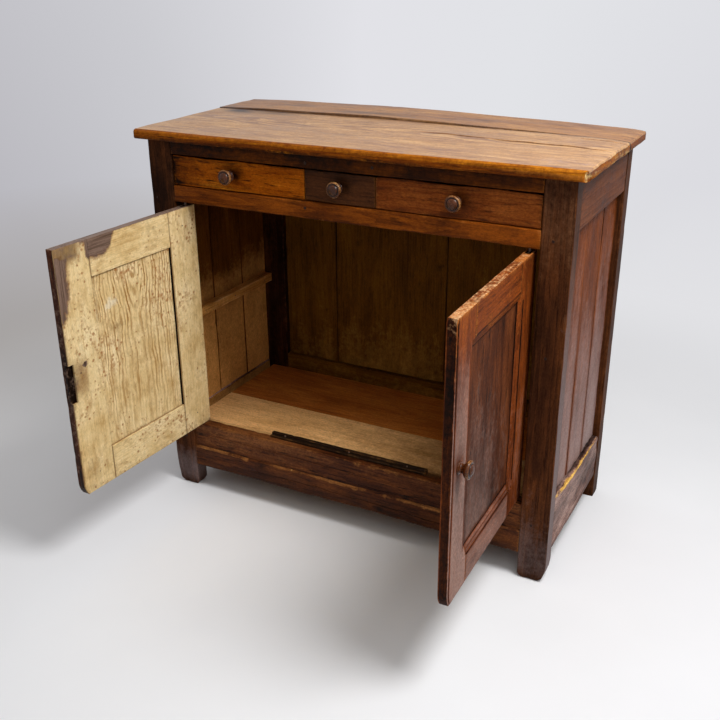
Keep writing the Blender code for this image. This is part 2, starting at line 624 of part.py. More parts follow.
def build_door(word, side, turn):
    """A framed door hung on two pins; side is -1 at the left. Drawn closed, its empty holds it open."""
    leaf = Body("door_" + word, (side * PIN_X, PIN_Y, 0.0), turn)
    inward = -side
    hinge_x = side * (IN_X - DOOR_GAP)
    free_x = hinge_x + inward * DOOR_W
    stile_h = hinge_x + inward * STILE_W
    stile_f = free_x - inward * STILE_W
    rail_low = DOOR_LOW + DOOR_RAIL_W
    rail_up = DOOR_UP - DOOR_RAIL_W
    x_low, x_high = min(stile_h, stile_f), max(stile_h, stile_f)
    wood_front = "cream" if word == "left" else "door"
    tenon_y = (PANEL_SET + PANEL_SET + PANEL_T) / 2 - DOOR_TENON_T / 2
    tenon_rows = (
        ("top", DOOR_UP - DOOR_RAIL_W / 2 - DOOR_TENON_H / 2),
        ("bottom", DOOR_LOW + DOOR_RAIL_W / 2 - DOOR_TENON_H / 2),
    )

    def panel_box(grow):
        return ((x_low - TONGUE - grow, PANEL_SET - grow, rail_low - TONGUE - grow),
                (x_high + TONGUE + grow, PANEL_SET + PANEL_T + grow, rail_up + TONGUE + grow))

    def frame_holes():
        holes = bmesh.new()
        moulding_cutter(holes, x_low, x_high, rail_low, rail_up)
        return holes

    plate_mid = side * PIN_X
    plate_x = (plate_mid - inward * (PIN_IN - 0.004), plate_mid - inward * (PIN_IN - 0.004) + inward * PLATE_L)

    # Stiles: through mortises, panel groove, pivot plates let into the hinge stile ends.
    for place, x_edge, x_in in (("hinge", hinge_x, stile_h), ("lock", free_x, stile_f)):
        body = bmesh.new()
        add_box(body, (x_edge, 0.0, DOOR_LOW), (x_in, DOOR_T, DOOR_UP), ARRIS)
        holes = frame_holes()
        step = bmesh.new()
        add_box(step, *panel_box(FIT))
        for word_rail, z in tenon_rows:
            add_box(step, (min(x_edge, x_in) - 0.004, tenon_y - FIT, z - FIT),
                    (max(x_edge, x_in) + 0.004, tenon_y + DOOR_TENON_T + FIT, z + DOOR_TENON_H + FIT))
        if place == "hinge":
            for z0, z1 in ((DOOR_UP - PLATE_T - FIT, DOOR_UP + 0.004), (DOOR_LOW - 0.004, DOOR_LOW + PLATE_T + FIT)):
                add_box(step, (plate_x[0] - inward * FIT, PIN_Y - PLATE_W / 2 - FIT, z0),
                        (plate_x[1] + inward * FIT, PIN_Y + PLATE_W / 2 + FIT, z1))
        else:
            spigot_hole(step, free_x - inward * DOOR_KNOB_IN, 0.0, DOOR_KNOB_Z)
            if word == "left":
                add_box(step, (free_x + inward * 0.004, DOOR_T - LOCK_DEEP, LOCK_LOW),
                        (free_x - inward * LOCK_W, DOOR_T + 0.004, LOCK_LOW + LOCK_H))
        thing = leaf.piece("door_" + word + "_stile_" + place, body, wood_front, cut=holes)
        tool = leaf.link(thing.name + "_work", step, tools)
        tool.hide_render = True
        tool.display_type = "WIRE"
        cut = thing.modifiers.new("work", "BOOLEAN")
        cut.operation = "DIFFERENCE"
        cut.solver = "EXACT"
        cut.object = tool

    # Rails with through tenons.
    for word_rail, z in tenon_rows:
        z0, z1 = (rail_up, DOOR_UP) if word_rail == "top" else (DOOR_LOW, rail_low)
        body = bmesh.new()
        add_box(body, (x_low + FIT, 0.0, z0), (x_high - FIT, DOOR_T, z1), ARRIS * 0.6)
        tenons = bmesh.new()
        ends = (min(hinge_x, free_x) + FIT, max(hinge_x, free_x) - FIT)
        add_box(tenons, (ends[0], tenon_y, z), (ends[1], tenon_y + DOOR_TENON_T, z + DOOR_TENON_H))
        holes = frame_holes()
        thing = leaf.piece("door_" + word + "_rail_" + word_rail, body, wood_front, cut=holes)
        step = bmesh.new()
        add_box(step, *panel_box(FIT))
        for tag, mesh, kind in (("groove", step, "DIFFERENCE"), ("tenons", tenons, "UNION")):
            tool = leaf.link(thing.name + "_" + tag, mesh, tools)
            tool.hide_render = True
            tool.display_type = "WIRE"
            cut = thing.modifiers.new(tag, "BOOLEAN")
            cut.operation = kind
            cut.solver = "EXACT"
            cut.object = tool

    body = bmesh.new()
    add_box(body, *panel_box(0.0))
    leaf.piece("door_" + word + "_panel", body, wood_front)
    knob(leaf, "door_" + word + "_knob", free_x - inward * DOOR_KNOB_IN, 0.0, DOOR_KNOB_Z)

    # Pivots: a plate with a pin, let into the ends of the hinge stile.
    for place, z_face, up in (("top", DOOR_UP, 1), ("bottom", DOOR_LOW, -1)):
        body = bmesh.new()
        add_box(body, (plate_x[0], PIN_Y - PLATE_W / 2, z_face - up * PLATE_T), (plate_x[1], PIN_Y + PLATE_W / 2, z_face))
        reach = (DRAWER_RAIL_LOW + PIN_DEEP) if up > 0 else (BOTTOM_RAIL_UP - PIN_DEEP)
        pin = bmesh.new()
        add_rod(pin, (side * PIN_X, PIN_Y), PIN_R, z_face - up * PLATE_T / 2, reach, "Z")
        leaf.piece("door_" + word + "_pivot_" + place, body, "iron", added=pin)


build_door("left", -1, -math.radians(OPEN_LEFT))
build_door("right", 1, math.radians(OPEN_RIGHT))


def build_drawer(word, x_low, x_high, box_low, box_high, shift, wood):
    """A drawer: front, two sides let into it, back, and a bottom sliding in grooves."""
    tray = Body("drawer_" + word, ((x_low + x_high) / 2, 0.0, DRAWER_RAIL_UP))
    z_low = DRAWER_RAIL_UP + FIT
    front_low = DRAWER_RAIL_UP + DRAWER_GAP
    front_up = TOP_RAIL_LOW - DRAWER_GAP
    back_face = DRAWER_SET + FRONT_T
    side_up = TOP_RAIL_LOW - BOX_TOP_GAP
    rear = REAR_Y - BOX_REAR_GAP
    bottom_low = z_low + BOX_BOTTOM_UP
    inner_low = box_low + BOX_SIDE_T
    inner_high = box_high - BOX_SIDE_T

    def bottom_box(grow):
        return ((inner_low - BOX_GROOVE - grow + FIT, back_face - BOX_GROOVE - grow + FIT, bottom_low - grow),
                (inner_high + BOX_GROOVE + grow - FIT, rear - FIT, bottom_low + BOX_BOTTOM_T + grow))

    def side_box(left, grow):
        a, b = (box_low, inner_low) if left else (inner_high, box_high)
        return ((a - grow, back_face - BOX_HOUSE - grow, z_low - grow), (b + grow, rear, side_up + grow))

    body = bmesh.new()
    add_box(body, (x_low, DRAWER_SET, front_low), (x_high, back_face, front_up), ARRIS)
    holes = bmesh.new()
    add_box(holes, *side_box(True, FIT))
    add_box(holes, *side_box(False, FIT))
    knob_x = (x_low + x_high) / 2 + shift
    knob_z = (front_low + front_up) / 2
    spigot_hole(holes, knob_x, DRAWER_SET, knob_z)
    thing = tray.piece("drawer_" + word + "_front", body, wood, cut=holes)
    groove = bmesh.new()
    add_box(groove, *bottom_box(FIT))
    tool = tray.link(thing.name + "_groove", groove, tools)
    tool.hide_render = True
    tool.display_type = "WIRE"
    cut = thing.modifiers.new("groove", "BOOLEAN")
    cut.operation = "DIFFERENCE"
    cut.solver = "EXACT"
    cut.object = tool

    for left, name in ((True, "left"), (False, "right")):
        body = bmesh.new()
        add_box(body, *side_box(left, 0.0))
        groove = bmesh.new()
        low, high = bottom_box(FIT)
        add_box(groove, low, (high[0], high[1] + 0.01, high[2]))
        tray.piece("drawer_" + word + "_side_" + name, body, "pine", cut=groove)
    body = bmesh.new()
    add_box(body, (inner_low + FIT, rear - BOX_BACK_T, bottom_low + BOX_BOTTOM_T + FIT),
            (inner_high - FIT, rear, side_up - 0.004))
    tray.piece("drawer_" + word + "_back", body, "pine")
    body = bmesh.new()
    add_box(body, *bottom_box(0.0))
    tray.piece("drawer_" + word + "_bottom", body, "pine")
    knob(tray, "drawer_" + word + "_knob", knob_x, DRAWER_SET, knob_z)


half_gap = DRAWER_GAP / 2
guide = PARTITION_T / 2 + BOX_GAP
build_drawer("left", -IN_X + DRAWER_GAP, DIVIDE_LEFT - half_gap, -IN_X + DRAWER_GAP + BOX_GAP, DIVIDE_LEFT - guide,
             KNOB_SHIFTS[0], "drawer_light")
build_drawer("centre", DIVIDE_LEFT + half_gap, DIVIDE_RIGHT - half_gap, DIVIDE_LEFT + guide, DIVIDE_RIGHT - guide,
             KNOB_SHIFTS[1], "drawer_dark")
build_drawer("right", DIVIDE_RIGHT + half_gap, IN_X - DRAWER_GAP, DIVIDE_RIGHT + guide, IN_X - DRAWER_GAP - BOX_GAP,
             KNOB_SHIFTS[2], "drawer_mid")
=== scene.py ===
import math

import bmesh
import bpy
import numpy as np
from mathutils import Matrix, Vector


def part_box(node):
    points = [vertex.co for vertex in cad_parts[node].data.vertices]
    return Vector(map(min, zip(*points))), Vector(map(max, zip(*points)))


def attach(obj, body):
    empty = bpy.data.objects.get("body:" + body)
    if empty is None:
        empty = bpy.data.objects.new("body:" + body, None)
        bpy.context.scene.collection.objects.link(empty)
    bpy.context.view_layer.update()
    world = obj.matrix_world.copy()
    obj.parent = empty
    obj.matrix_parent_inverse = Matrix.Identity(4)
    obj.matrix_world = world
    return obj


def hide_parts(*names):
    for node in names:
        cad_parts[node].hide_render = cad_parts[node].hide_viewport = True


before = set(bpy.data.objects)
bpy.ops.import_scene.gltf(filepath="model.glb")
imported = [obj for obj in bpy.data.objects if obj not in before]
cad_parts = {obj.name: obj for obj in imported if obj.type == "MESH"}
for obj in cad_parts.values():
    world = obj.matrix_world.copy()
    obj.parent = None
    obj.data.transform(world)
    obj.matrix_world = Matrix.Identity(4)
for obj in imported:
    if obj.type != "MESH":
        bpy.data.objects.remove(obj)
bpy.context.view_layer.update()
print("frame loaded with", len(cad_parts), "nodes")


def toLinear(hexCode):
    made = []
    for i in (0, 2, 4):
        share = int(hexCode[i:i + 2], 16) / 255
        made.append(share / 12.92 if share <= 0.04045 else ((share + 0.055) / 1.055) ** 2.4)
    return (*made, 1.0)


# Adds a node: inputs as a tuple in their order or by name, one output given back, or all of them for None.
def addNode(tree, kind, inputs=(), stops=None, out=0, **settings):
    made = tree.nodes.new(kind if "Node" in kind else "ShaderNode" + kind)
    for name, value in settings.items():
        setattr(made, name, value)
    for socket, value in (inputs if isinstance(inputs, dict) else dict(enumerate(inputs))).items():
        if isinstance(value, bpy.types.NodeSocket):
            tree.links.new(value, made.inputs[socket])
        else:
            made.inputs[socket].default_value = value
    if stops:
        bar = made.color_ramp.elements
        while len(bar) < len(stops):
            bar.new(0.5)
        for element, (position, hexCode) in zip(bar, stops):
            element.position = position
            element.color = toLinear(hexCode)
    return made.outputs if out is None else made.outputs[out]


def newObject(name, data):
    made = bpy.data.objects.new(name, data)
    bpy.context.scene.collection.objects.link(made)
    return made


# Camera, at the place that the photograph was taken from.
cameraMake = {
    "place": (1.00254, -1.85741, 1.36710),
    "yaw": 27.657,
    "pitch": -23.292,
    "roll": -0.340,
    "lens": 46.983,
}


def makeCamera():
    yaw, pitch, roll = (math.radians(cameraMake[k]) for k in ("yaw", "pitch", "roll"))
    ahead = Vector((-math.sin(yaw) * math.cos(pitch), math.cos(yaw) * math.cos(pitch), math.sin(pitch)))
    right = Vector((math.cos(yaw), math.sin(yaw), 0.0))
    up = right.cross(ahead)
    rightRolled = right * math.cos(roll) + up * math.sin(roll)
    upRolled = up * math.cos(roll) - right * math.sin(roll)
    data = bpy.data.cameras.new("camera")
    data.lens = cameraMake["lens"]
    data.sensor_width = 36.0
    data.clip_end = 200.0
    camera = newObject("camera", data)
    turn = Matrix((rightRolled, upRolled, -ahead)).transposed().to_4x4()
    camera.matrix_world = Matrix.Translation(cameraMake["place"]) @ turn
    bpy.context.scene.camera = camera


makeCamera()
print("camera placed")


# Woods. Every board carries two attributes: grain, its own place along, across and through the board in
# metres, and marks, with rubbed arrises in red, dark or bleached tone in green, which also carries painted
# shade and painted light, bare wood in blue, paint in alpha.
woodCommon = {
    "ring": 0.0065,        # growth ring, metres
    "wander": 0.016,       # how far the rings stray
    "ringShare": 0.16,
    "fibreShare": 0.34,
    "figureShare": 0.42,
    "blotchShare": 0.80,
    "streak": 0.55,
    "grit": 0.30,          # how much the pores and scuffs lighten and darken
    "rough": (0.36, 0.58),
    "bump": 0.30,
    "gloss": 0.10,         # old wax and dust, duller than varnish
    "streakColour": "170a04",
    "grimeAndShade": "0e0703",
    "pale": "b98a58",
    "worn": ("6a3a16", "9a6430"),
    "raw": ("a8763a", "e3b76c"),
}
waveLength = 0.3142        # of the wave texture at a scale of one, metres


def stretched(tree, place, along, across, detail, rough, out="Fac"):   # noise drawn out along the grain
    drawn = addNode(tree, "Mapping", {"Vector": place, "Scale": (along, across, across)})
    return addNode(tree, "TexNoise", {"Vector": drawn, "Scale": 1.0, "Detail": detail, "Roughness": rough},
                   out=out)


# Where a mark, broken up by noise, passes a limit.
def brokenMask(tree, mark, noise, share, start, end, most=1.0):
    broken = addNode(tree, "Math", (noise, share, mark), operation="MULTIPLY_ADD")
    return addNode(tree, "MapRange", {"Value": broken, "From Min": start, "From Max": end, "To Max": most})


def woodPattern(tree, look):
    place = addNode(tree, "Attribute", out="Vector", attribute_name="grain")
    marks = addNode(tree, "Attribute", out=None, attribute_name="marks")
    wear, tone, raw = addNode(tree, "SeparateColor", (marks["Color"],), out=None)
    # growth rings round the heart of the tree, bent by slow noise
    bend = stretched(tree, place, 2.4, 9.0, 2.0, 0.5, "Color")
    bent = addNode(tree, "VectorMath", (bend, (0.0, look["wander"], look["wander"]), place),
                   operation="MULTIPLY_ADD")
    drawn = addNode(tree, "Mapping", {"Vector": bent, "Scale": (0.05, 1.0, 1.0)})
    rings = addNode(tree, "TexWave",
                    {"Vector": drawn, "Scale": waveLength / look["ring"], "Distortion": 2.2, "Detail": 3.0,
                     "Detail Scale": 1.6, "Detail Roughness": 0.7},
                    out="Fac", wave_type="RINGS", rings_direction="X", wave_profile="SAW")
    # fibres about 4 mm wide, coarser than life so that they show, figure about 15 mm wide, blotches of stain
    fibre = stretched(tree, place, 9.0, 260.0, 3.0, 0.65)
    figure = stretched(tree, place, 7.0, 62.0, 4.0, 0.62)
    blotch = stretched(tree, place, 4.5, 15.0, 5.0, 0.62)
    patterns = {"ringShare": rings, "fibreShare": fibre, "figureShare": figure, "blotchShare": blotch}
    level = 0.5 - 0.5 * sum(look[share] for share in patterns)
    for share, pattern in patterns.items():
        level = addNode(tree, "Math", (pattern, look[share], level), operation="MULTIPLY_ADD")
    colour = addNode(tree, "ValToRGB", (level,), look["colours"])
    dashes = stretched(tree, place, 22.0, 200.0, 2.0, 0.5)
    streaks = addNode(tree, "MapRange",
                      {"Value": dashes, "From Min": 0.57, "From Max": 0.72, "To Max": look["streak"]})
    # tone painted on the board: below the middle is grime and painted shade, above it is bleaching and
    # painted light
    rub = addNode(tree, "TexNoise", {"Vector": place, "Scale": 70.0, "Detail": 5.0, "Roughness": 0.7},
                  out="Fac")
    mottle = addNode(tree, "Math", (rub, blotch), operation="ADD")
    grimeAndShade = brokenMask(tree, tone, mottle, 0.4, 0.80, 0.38)
    bleachAndLight = brokenMask(tree, tone, mottle, 0.4, 0.98, 1.45)
    # arrises rubbed through the stain, and fresh splits
    rubbed = brokenMask(tree, wear, rub, 1.6, 1.15, 1.85)
    wornTone = addNode(tree, "ValToRGB", (fibre,), ((0.30, look["worn"][0]), (0.68, look["worn"][1])))
    split = brokenMask(tree, raw, rub, 1.2, 1.05, 1.30)
    rawTone = addNode(tree, "ValToRGB", (fibre,), ((0.30, look["raw"][0]), (0.60, look["raw"][1])))
    for mask, over in ((streaks, toLinear(look["streakColour"])), (grimeAndShade, toLinear(look["grimeAndShade"])),
                       (bleachAndLight, toLinear(look["pale"])), (rubbed, wornTone), (split, rawTone)):
        colour = addNode(tree, "Mix", {0: mask, 6: colour, 7: over}, out=2, data_type="RGBA")
    low, high = look["rough"]
    smooth = addNode(tree, "MapRange",
                     {"Value": mottle, "From Min": 0.7, "From Max": 1.3, "To Min": low, "To Max": high})
    rough = addNode(tree, "Math", (rubbed, 0.10, smooth), operation="MULTIPLY_ADD")
    ridge = addNode(tree, "Math", (figure, 0.9, fibre), operation="MULTIPLY_ADD")
    height = addNode(tree, "Math", (rub, 1.1, ridge), operation="MULTIPLY_ADD")
    # pores and scuffs, 2 to 5 mm, coarser than life so that they show
    specks = stretched(tree, place, 150.0, 420.0, 4.0, 0.75)
    grit = addNode(tree, "MapRange", {"Value": specks, "From Min": 0.33, "From Max": 0.67,
                                      "To Min": 1 - look["grit"], "To Max": 1 + look["grit"]})
    return {"colour": colour, "rough": rough, "height": height, "place": place, "fibre": fibre, "rub": rub,
            "grit": grit, "figure": figure, "wear": wear, "tone": tone, "raw": raw, "paint": marks["Alpha"]}


def finishMaterial(tree, look, colour, rough, height, grit=None):
    shader = tree.nodes["Principled BSDF"]
    if grit is not None:
        colour = addNode(tree, "VectorMath", {0: colour, "Scale": grit}, operation="SCALE")
    bump = addNode(tree, "Bump", {"Strength": look["bump"], "Distance": 0.0006, "Height": height})
    for socket, value in (("Base Color", colour), ("Roughness", rough), ("Normal", bump)):
        tree.links.new(value, shader.inputs[socket])
    shader.inputs["Specular IOR Level"].default_value = look["gloss"]


def newMaterial(name):
    material = bpy.data.materials.new(name)
    material.use_nodes = True
    return material, material.node_tree


def agedWood(name, look):
    material, tree = newMaterial(name)
    look = {**woodCommon, **look}
    wood = woodPattern(tree, look)
    finishMaterial(tree, look, wood["colour"], wood["rough"], wood["height"], wood["grit"])
    return material


# Waxed pine, planed by hand: honey brown with long soft rings and a satin sheen.
waxedTop = agedWood("waxedPineTop", {
    "colours": ((0.15, "613927"), (0.42, "986c44"), (0.66, "ba8d5b"), (0.90, "cfaa82")),
    "rough": (0.34, 0.50), "gloss": 0.50, "ring": 0.006, "ringShare": 0.30, "fibreShare": 0.60,
    "figureShare": 0.75, "blotchShare": 0.50, "streak": 0.60, "streakColour": "4c2610",
    "worn": ("8e5c2e", "cea674"), "pale": "d5c6ce", "grimeAndShade": "2a1206",
})
# The nose of the top: end of the wax, handled dark.
darkNose = agedWood("handledPineNose", {
    "colours": ((0.15, "371501"), (0.45, "6e3305"), (0.80, "9e550a")),
    "gloss": 0.06, "streak": 0.7, "pale": "bb7225", "worn": ("7d4106", "c67a18"), "grimeAndShade": "140601",
    "raw": ("86642e", "d0ac74"),
})
# The same pine under old varnish, gone purple brown.
darkTop = agedWood("varnishedPineTop", {
    "colours": ((0.15, "50301d"), (0.45, "8a5b33"), (0.80, "b3814c")),
    "rough": (0.38, 0.54), "gloss": 0.45, "streak": 0.70, "figureShare": 0.60, "worn": ("885d2e", "c7964a"),
    "grimeAndShade": "1d0c05",
})
# Pine posts under many coats of dark stain: nearly black with warm brown showing through.
darkPost = agedWood("blackStainedPost", {
    "colours": ((0.15, "241309"), (0.45, "412414"), (0.72, "673a1d"), (0.95, "8f572c")),
    "gloss": 0.03, "streak": 0.6, "worn": ("51311e", "774f34"), "grimeAndShade": "080301", "pale": "7a6a68",
    "figureShare": 0.26, "fibreShare": 0.24,
})
# Front rails: stained pine polished by hands, orange where the stain has gone.
stainedRail = agedWood("stainedPineRail", {
    "colours": ((0.12, "2e1505"), (0.40, "642f08"), (0.68, "904a0e"), (0.92, "b26a1f")),
    "gloss": 0.06, "worn": ("85470e", "c0793b"), "grimeAndShade": "0e0501", "pale": "b45d16",
})
# Bottom rail and skirt: dark red brown stain, scuffed by feet and brooms.
scuffedBase = agedWood("scuffedBaseRail", {
    "colours": ((0.15, "1c0c05"), (0.42, "43200d"), (0.70, "673817"), (0.94, "895227")),
    "rough": (0.42, 0.64), "streak": 1.0, "worn": ("623718", "a26b37"), "grimeAndShade": "0b0402", "pale": "966238",
    "bump": 0.7, "grit": 0.45, "blotchShare": 1.0,
})
# Side boards: reddish stain, weathered, and greyish low down with dust and a painted sheen.
sideWood = agedWood("weatheredSideBoard", {
    "colours": ((0.14, "321509"), (0.42, "663215"), (0.68, "8a4922"), (0.92, "a56333")),
    "streak": 0.5, "worn": ("683a1c", "9f693e"), "grimeAndShade": "140904", "pale": "a6918d",
    "raw": ("9a7440", "c9a868"),
    "bump": 0.55, "gloss": 0.02,
})
# The upper side rail: brown stain that kept its colour under the overhang.
stainedSideRail = agedWood("stainedSideRail", {
    "colours": ((0.14, "2e150a"), (0.42, "592e18"), (0.68, "754529"), (0.92, "88573a")),
    "streak": 0.3, "worn": ("6c3f22", "946444"), "grimeAndShade": "140904", "gloss": 0.03, "figureShare": 0.30,
})
# The lower side rail: weathered by damp, grey brown and rough.
weatheredRail = agedWood("weatheredSideRail", {
    "colours": ((0.14, "2c1914"), (0.42, "6b4b41"), (0.68, "9d7a6e"), (0.92, "bd9e92")),
    "streak": 0.9, "worn": ("6a4a3c", "a2826e"), "grimeAndShade": "190e0a", "pale": "b8a29a",
    "raw": ("b07c34", "e6b862"),
    "bump": 0.9, "grit": 0.5, "gloss": 0.03, "blotchShare": 1.7, "figureShare": 0.80,
})
# Bare pine never varnished, oxidised to a dull golden brown.
oldPine = {"rough": (0.62, 0.82), "streak": 0.4, "ringShare": 0.10}
bareInside = agedWood("oxidisedPineInside", {
    **oldPine,
    "colours": ((0.14, "654323"), (0.42, "a66f33"), (0.70, "ce954f"), (0.94, "f3bf72")),
    "gloss": 0.08, "worn": ("b68446", "f7c280"), "grimeAndShade": "190b02", "pale": "ffdc9f",
})
# The inside walls: the same pine, with painted shade above the lost shelf and painted light below it.
wallWithPaintedLightAndShade = agedWood("pineWallPaintedLightAndShade", {
    **oldPine,
    "colours": ((0.14, "321a02"), (0.42, "562f0a"), (0.70, "6d4012"), (0.94, "83551c")),
    "gloss": 0.05, "worn": ("5e3709", "80551f"), "grimeAndShade": "150801", "pale": "e2a45b",
})
# The back boards: the same pine, darker with smoke and age.
smokedBack = agedWood("smokedPineBack", {
    **oldPine,
    "colours": ((0.14, "311b03"), (0.42, "55330a"), (0.70, "6d4611"), (0.94, "80591c")),
    "gloss": 0.05, "worn": ("673d0b", "8b5e23"), "grimeAndShade": "150801", "pale": "b08440",
})
# A newer plank: pale sawn pine, dusty and dull.
sawnPine = {"rough": (0.62, 0.80), "gloss": 0.08, "streak": 0.25, "streakColour": "7a5430"}
palePlank = agedWood("palePinePlank", {
    **sawnPine,
    "colours": ((0.14, "a4733e"), (0.42, "d09d61"), (0.70, "e8b67a"), (0.94, "f2c790")),
    "worn": ("c59458", "eac68e"), "ringShare": 0.08, "grimeAndShade": "4c3018", "pale": "ffe2ab",
})
# The back board of the floor: older pine, red brown.
redFloor = agedWood("redPineFloor", {
    "colours": ((0.14, "603212"), (0.42, "9d5720"), (0.70, "c07531"), (0.94, "dc9748")),
    "rough": (0.56, 0.76), "gloss": 0.10, "streak": 0.3, "worn": ("985f28", "c5914e"), "ringShare": 0.08,
    "pale": "c59156",
})
# The door stop: a strip of pine gone black with grease and shoes.
blackStrip = agedWood("blackenedStrip", {
    "colours": ((0.15, "0f0703"), (0.50, "221409"), (0.90, "3f2715")),
    "rough": (0.45, 0.65), "worn": ("402712", "73502a"),
})
# Drawer fronts: waxed pine, each from another board.
amberDrawer = agedWood("amberDrawerFront", {
    "colours": ((0.12, "461903"), (0.40, "823b03"), (0.66, "a35409"), (0.92, "be771d")),
    "rough": (0.32, 0.50), "gloss": 0.04, "streak": 0.9, "worn": ("884305", "b66e21"), "grimeAndShade": "1a0901",
    "blotchShare": 1.15, "grit": 0.40, "pale": "cf7316",
})
darkDrawer = agedWood("darkDrawerFront", {
    "colours": ((0.15, "1f0f05"), (0.45, "40220f"), (0.85, "61381b")),
    "rough": (0.32, 0.50), "gloss": 0.06, "worn": ("582f12", "865627"), "grimeAndShade": "0c0502",
})
redDrawer = agedWood("redBrownDrawerFront", {
    "colours": ((0.12, "3b1704"), (0.42, "6f340d"), (0.70, "8d4b1a"), (0.94, "a96832")),
    "rough": (0.32, 0.50), "gloss": 0.06, "streak": 0.6, "worn": ("7c4315", "ad733f"), "grimeAndShade": "170801",
    "blotchShare": 1.15, "grit": 0.40,
})
# Drawer boxes: thin bare pine.
boxPine = agedWood("bareDrawerPine", {
    **sawnPine,
    "colours": ((0.14, "94693a"), (0.42, "b58b57"), (0.70, "c7a06c"), (0.94, "d6b484")),
    "worn": ("b08550", "d8b684"), "ring": 0.006, "grimeAndShade": "5a3a1e", "pale": "d8bc92",
})
# Turned fruitwood: close grain, rim polished by fingers, dirt in the groove.
turnedKnob = agedWood("turnedFruitwood", {
    "colours": ((0.15, "1e0a02"), (0.45, "452008"), (0.75, "653413"), (0.95, "7c4a20")),
    "rough": (0.18, 0.32), "gloss": 0.28, "ring": 0.003, "streak": 0.3, "worn": ("8a5420", "cc9a5c"),
    "grimeAndShade": "0e0502",
})
# Door pine under the paint and the stain.
doorLook = {
    **woodCommon,
    "colours": ((0.12, "311306"), (0.42, "632c0d"), (0.68, "894215"), (0.92, "a45b21")),
    "streak": 0.5, "worn": ("814011", "bd773a"), "grimeAndShade": "120703", "grit": 0.14,
    "pale": "a8642c", "raw": ("544032", "80685a"),
}


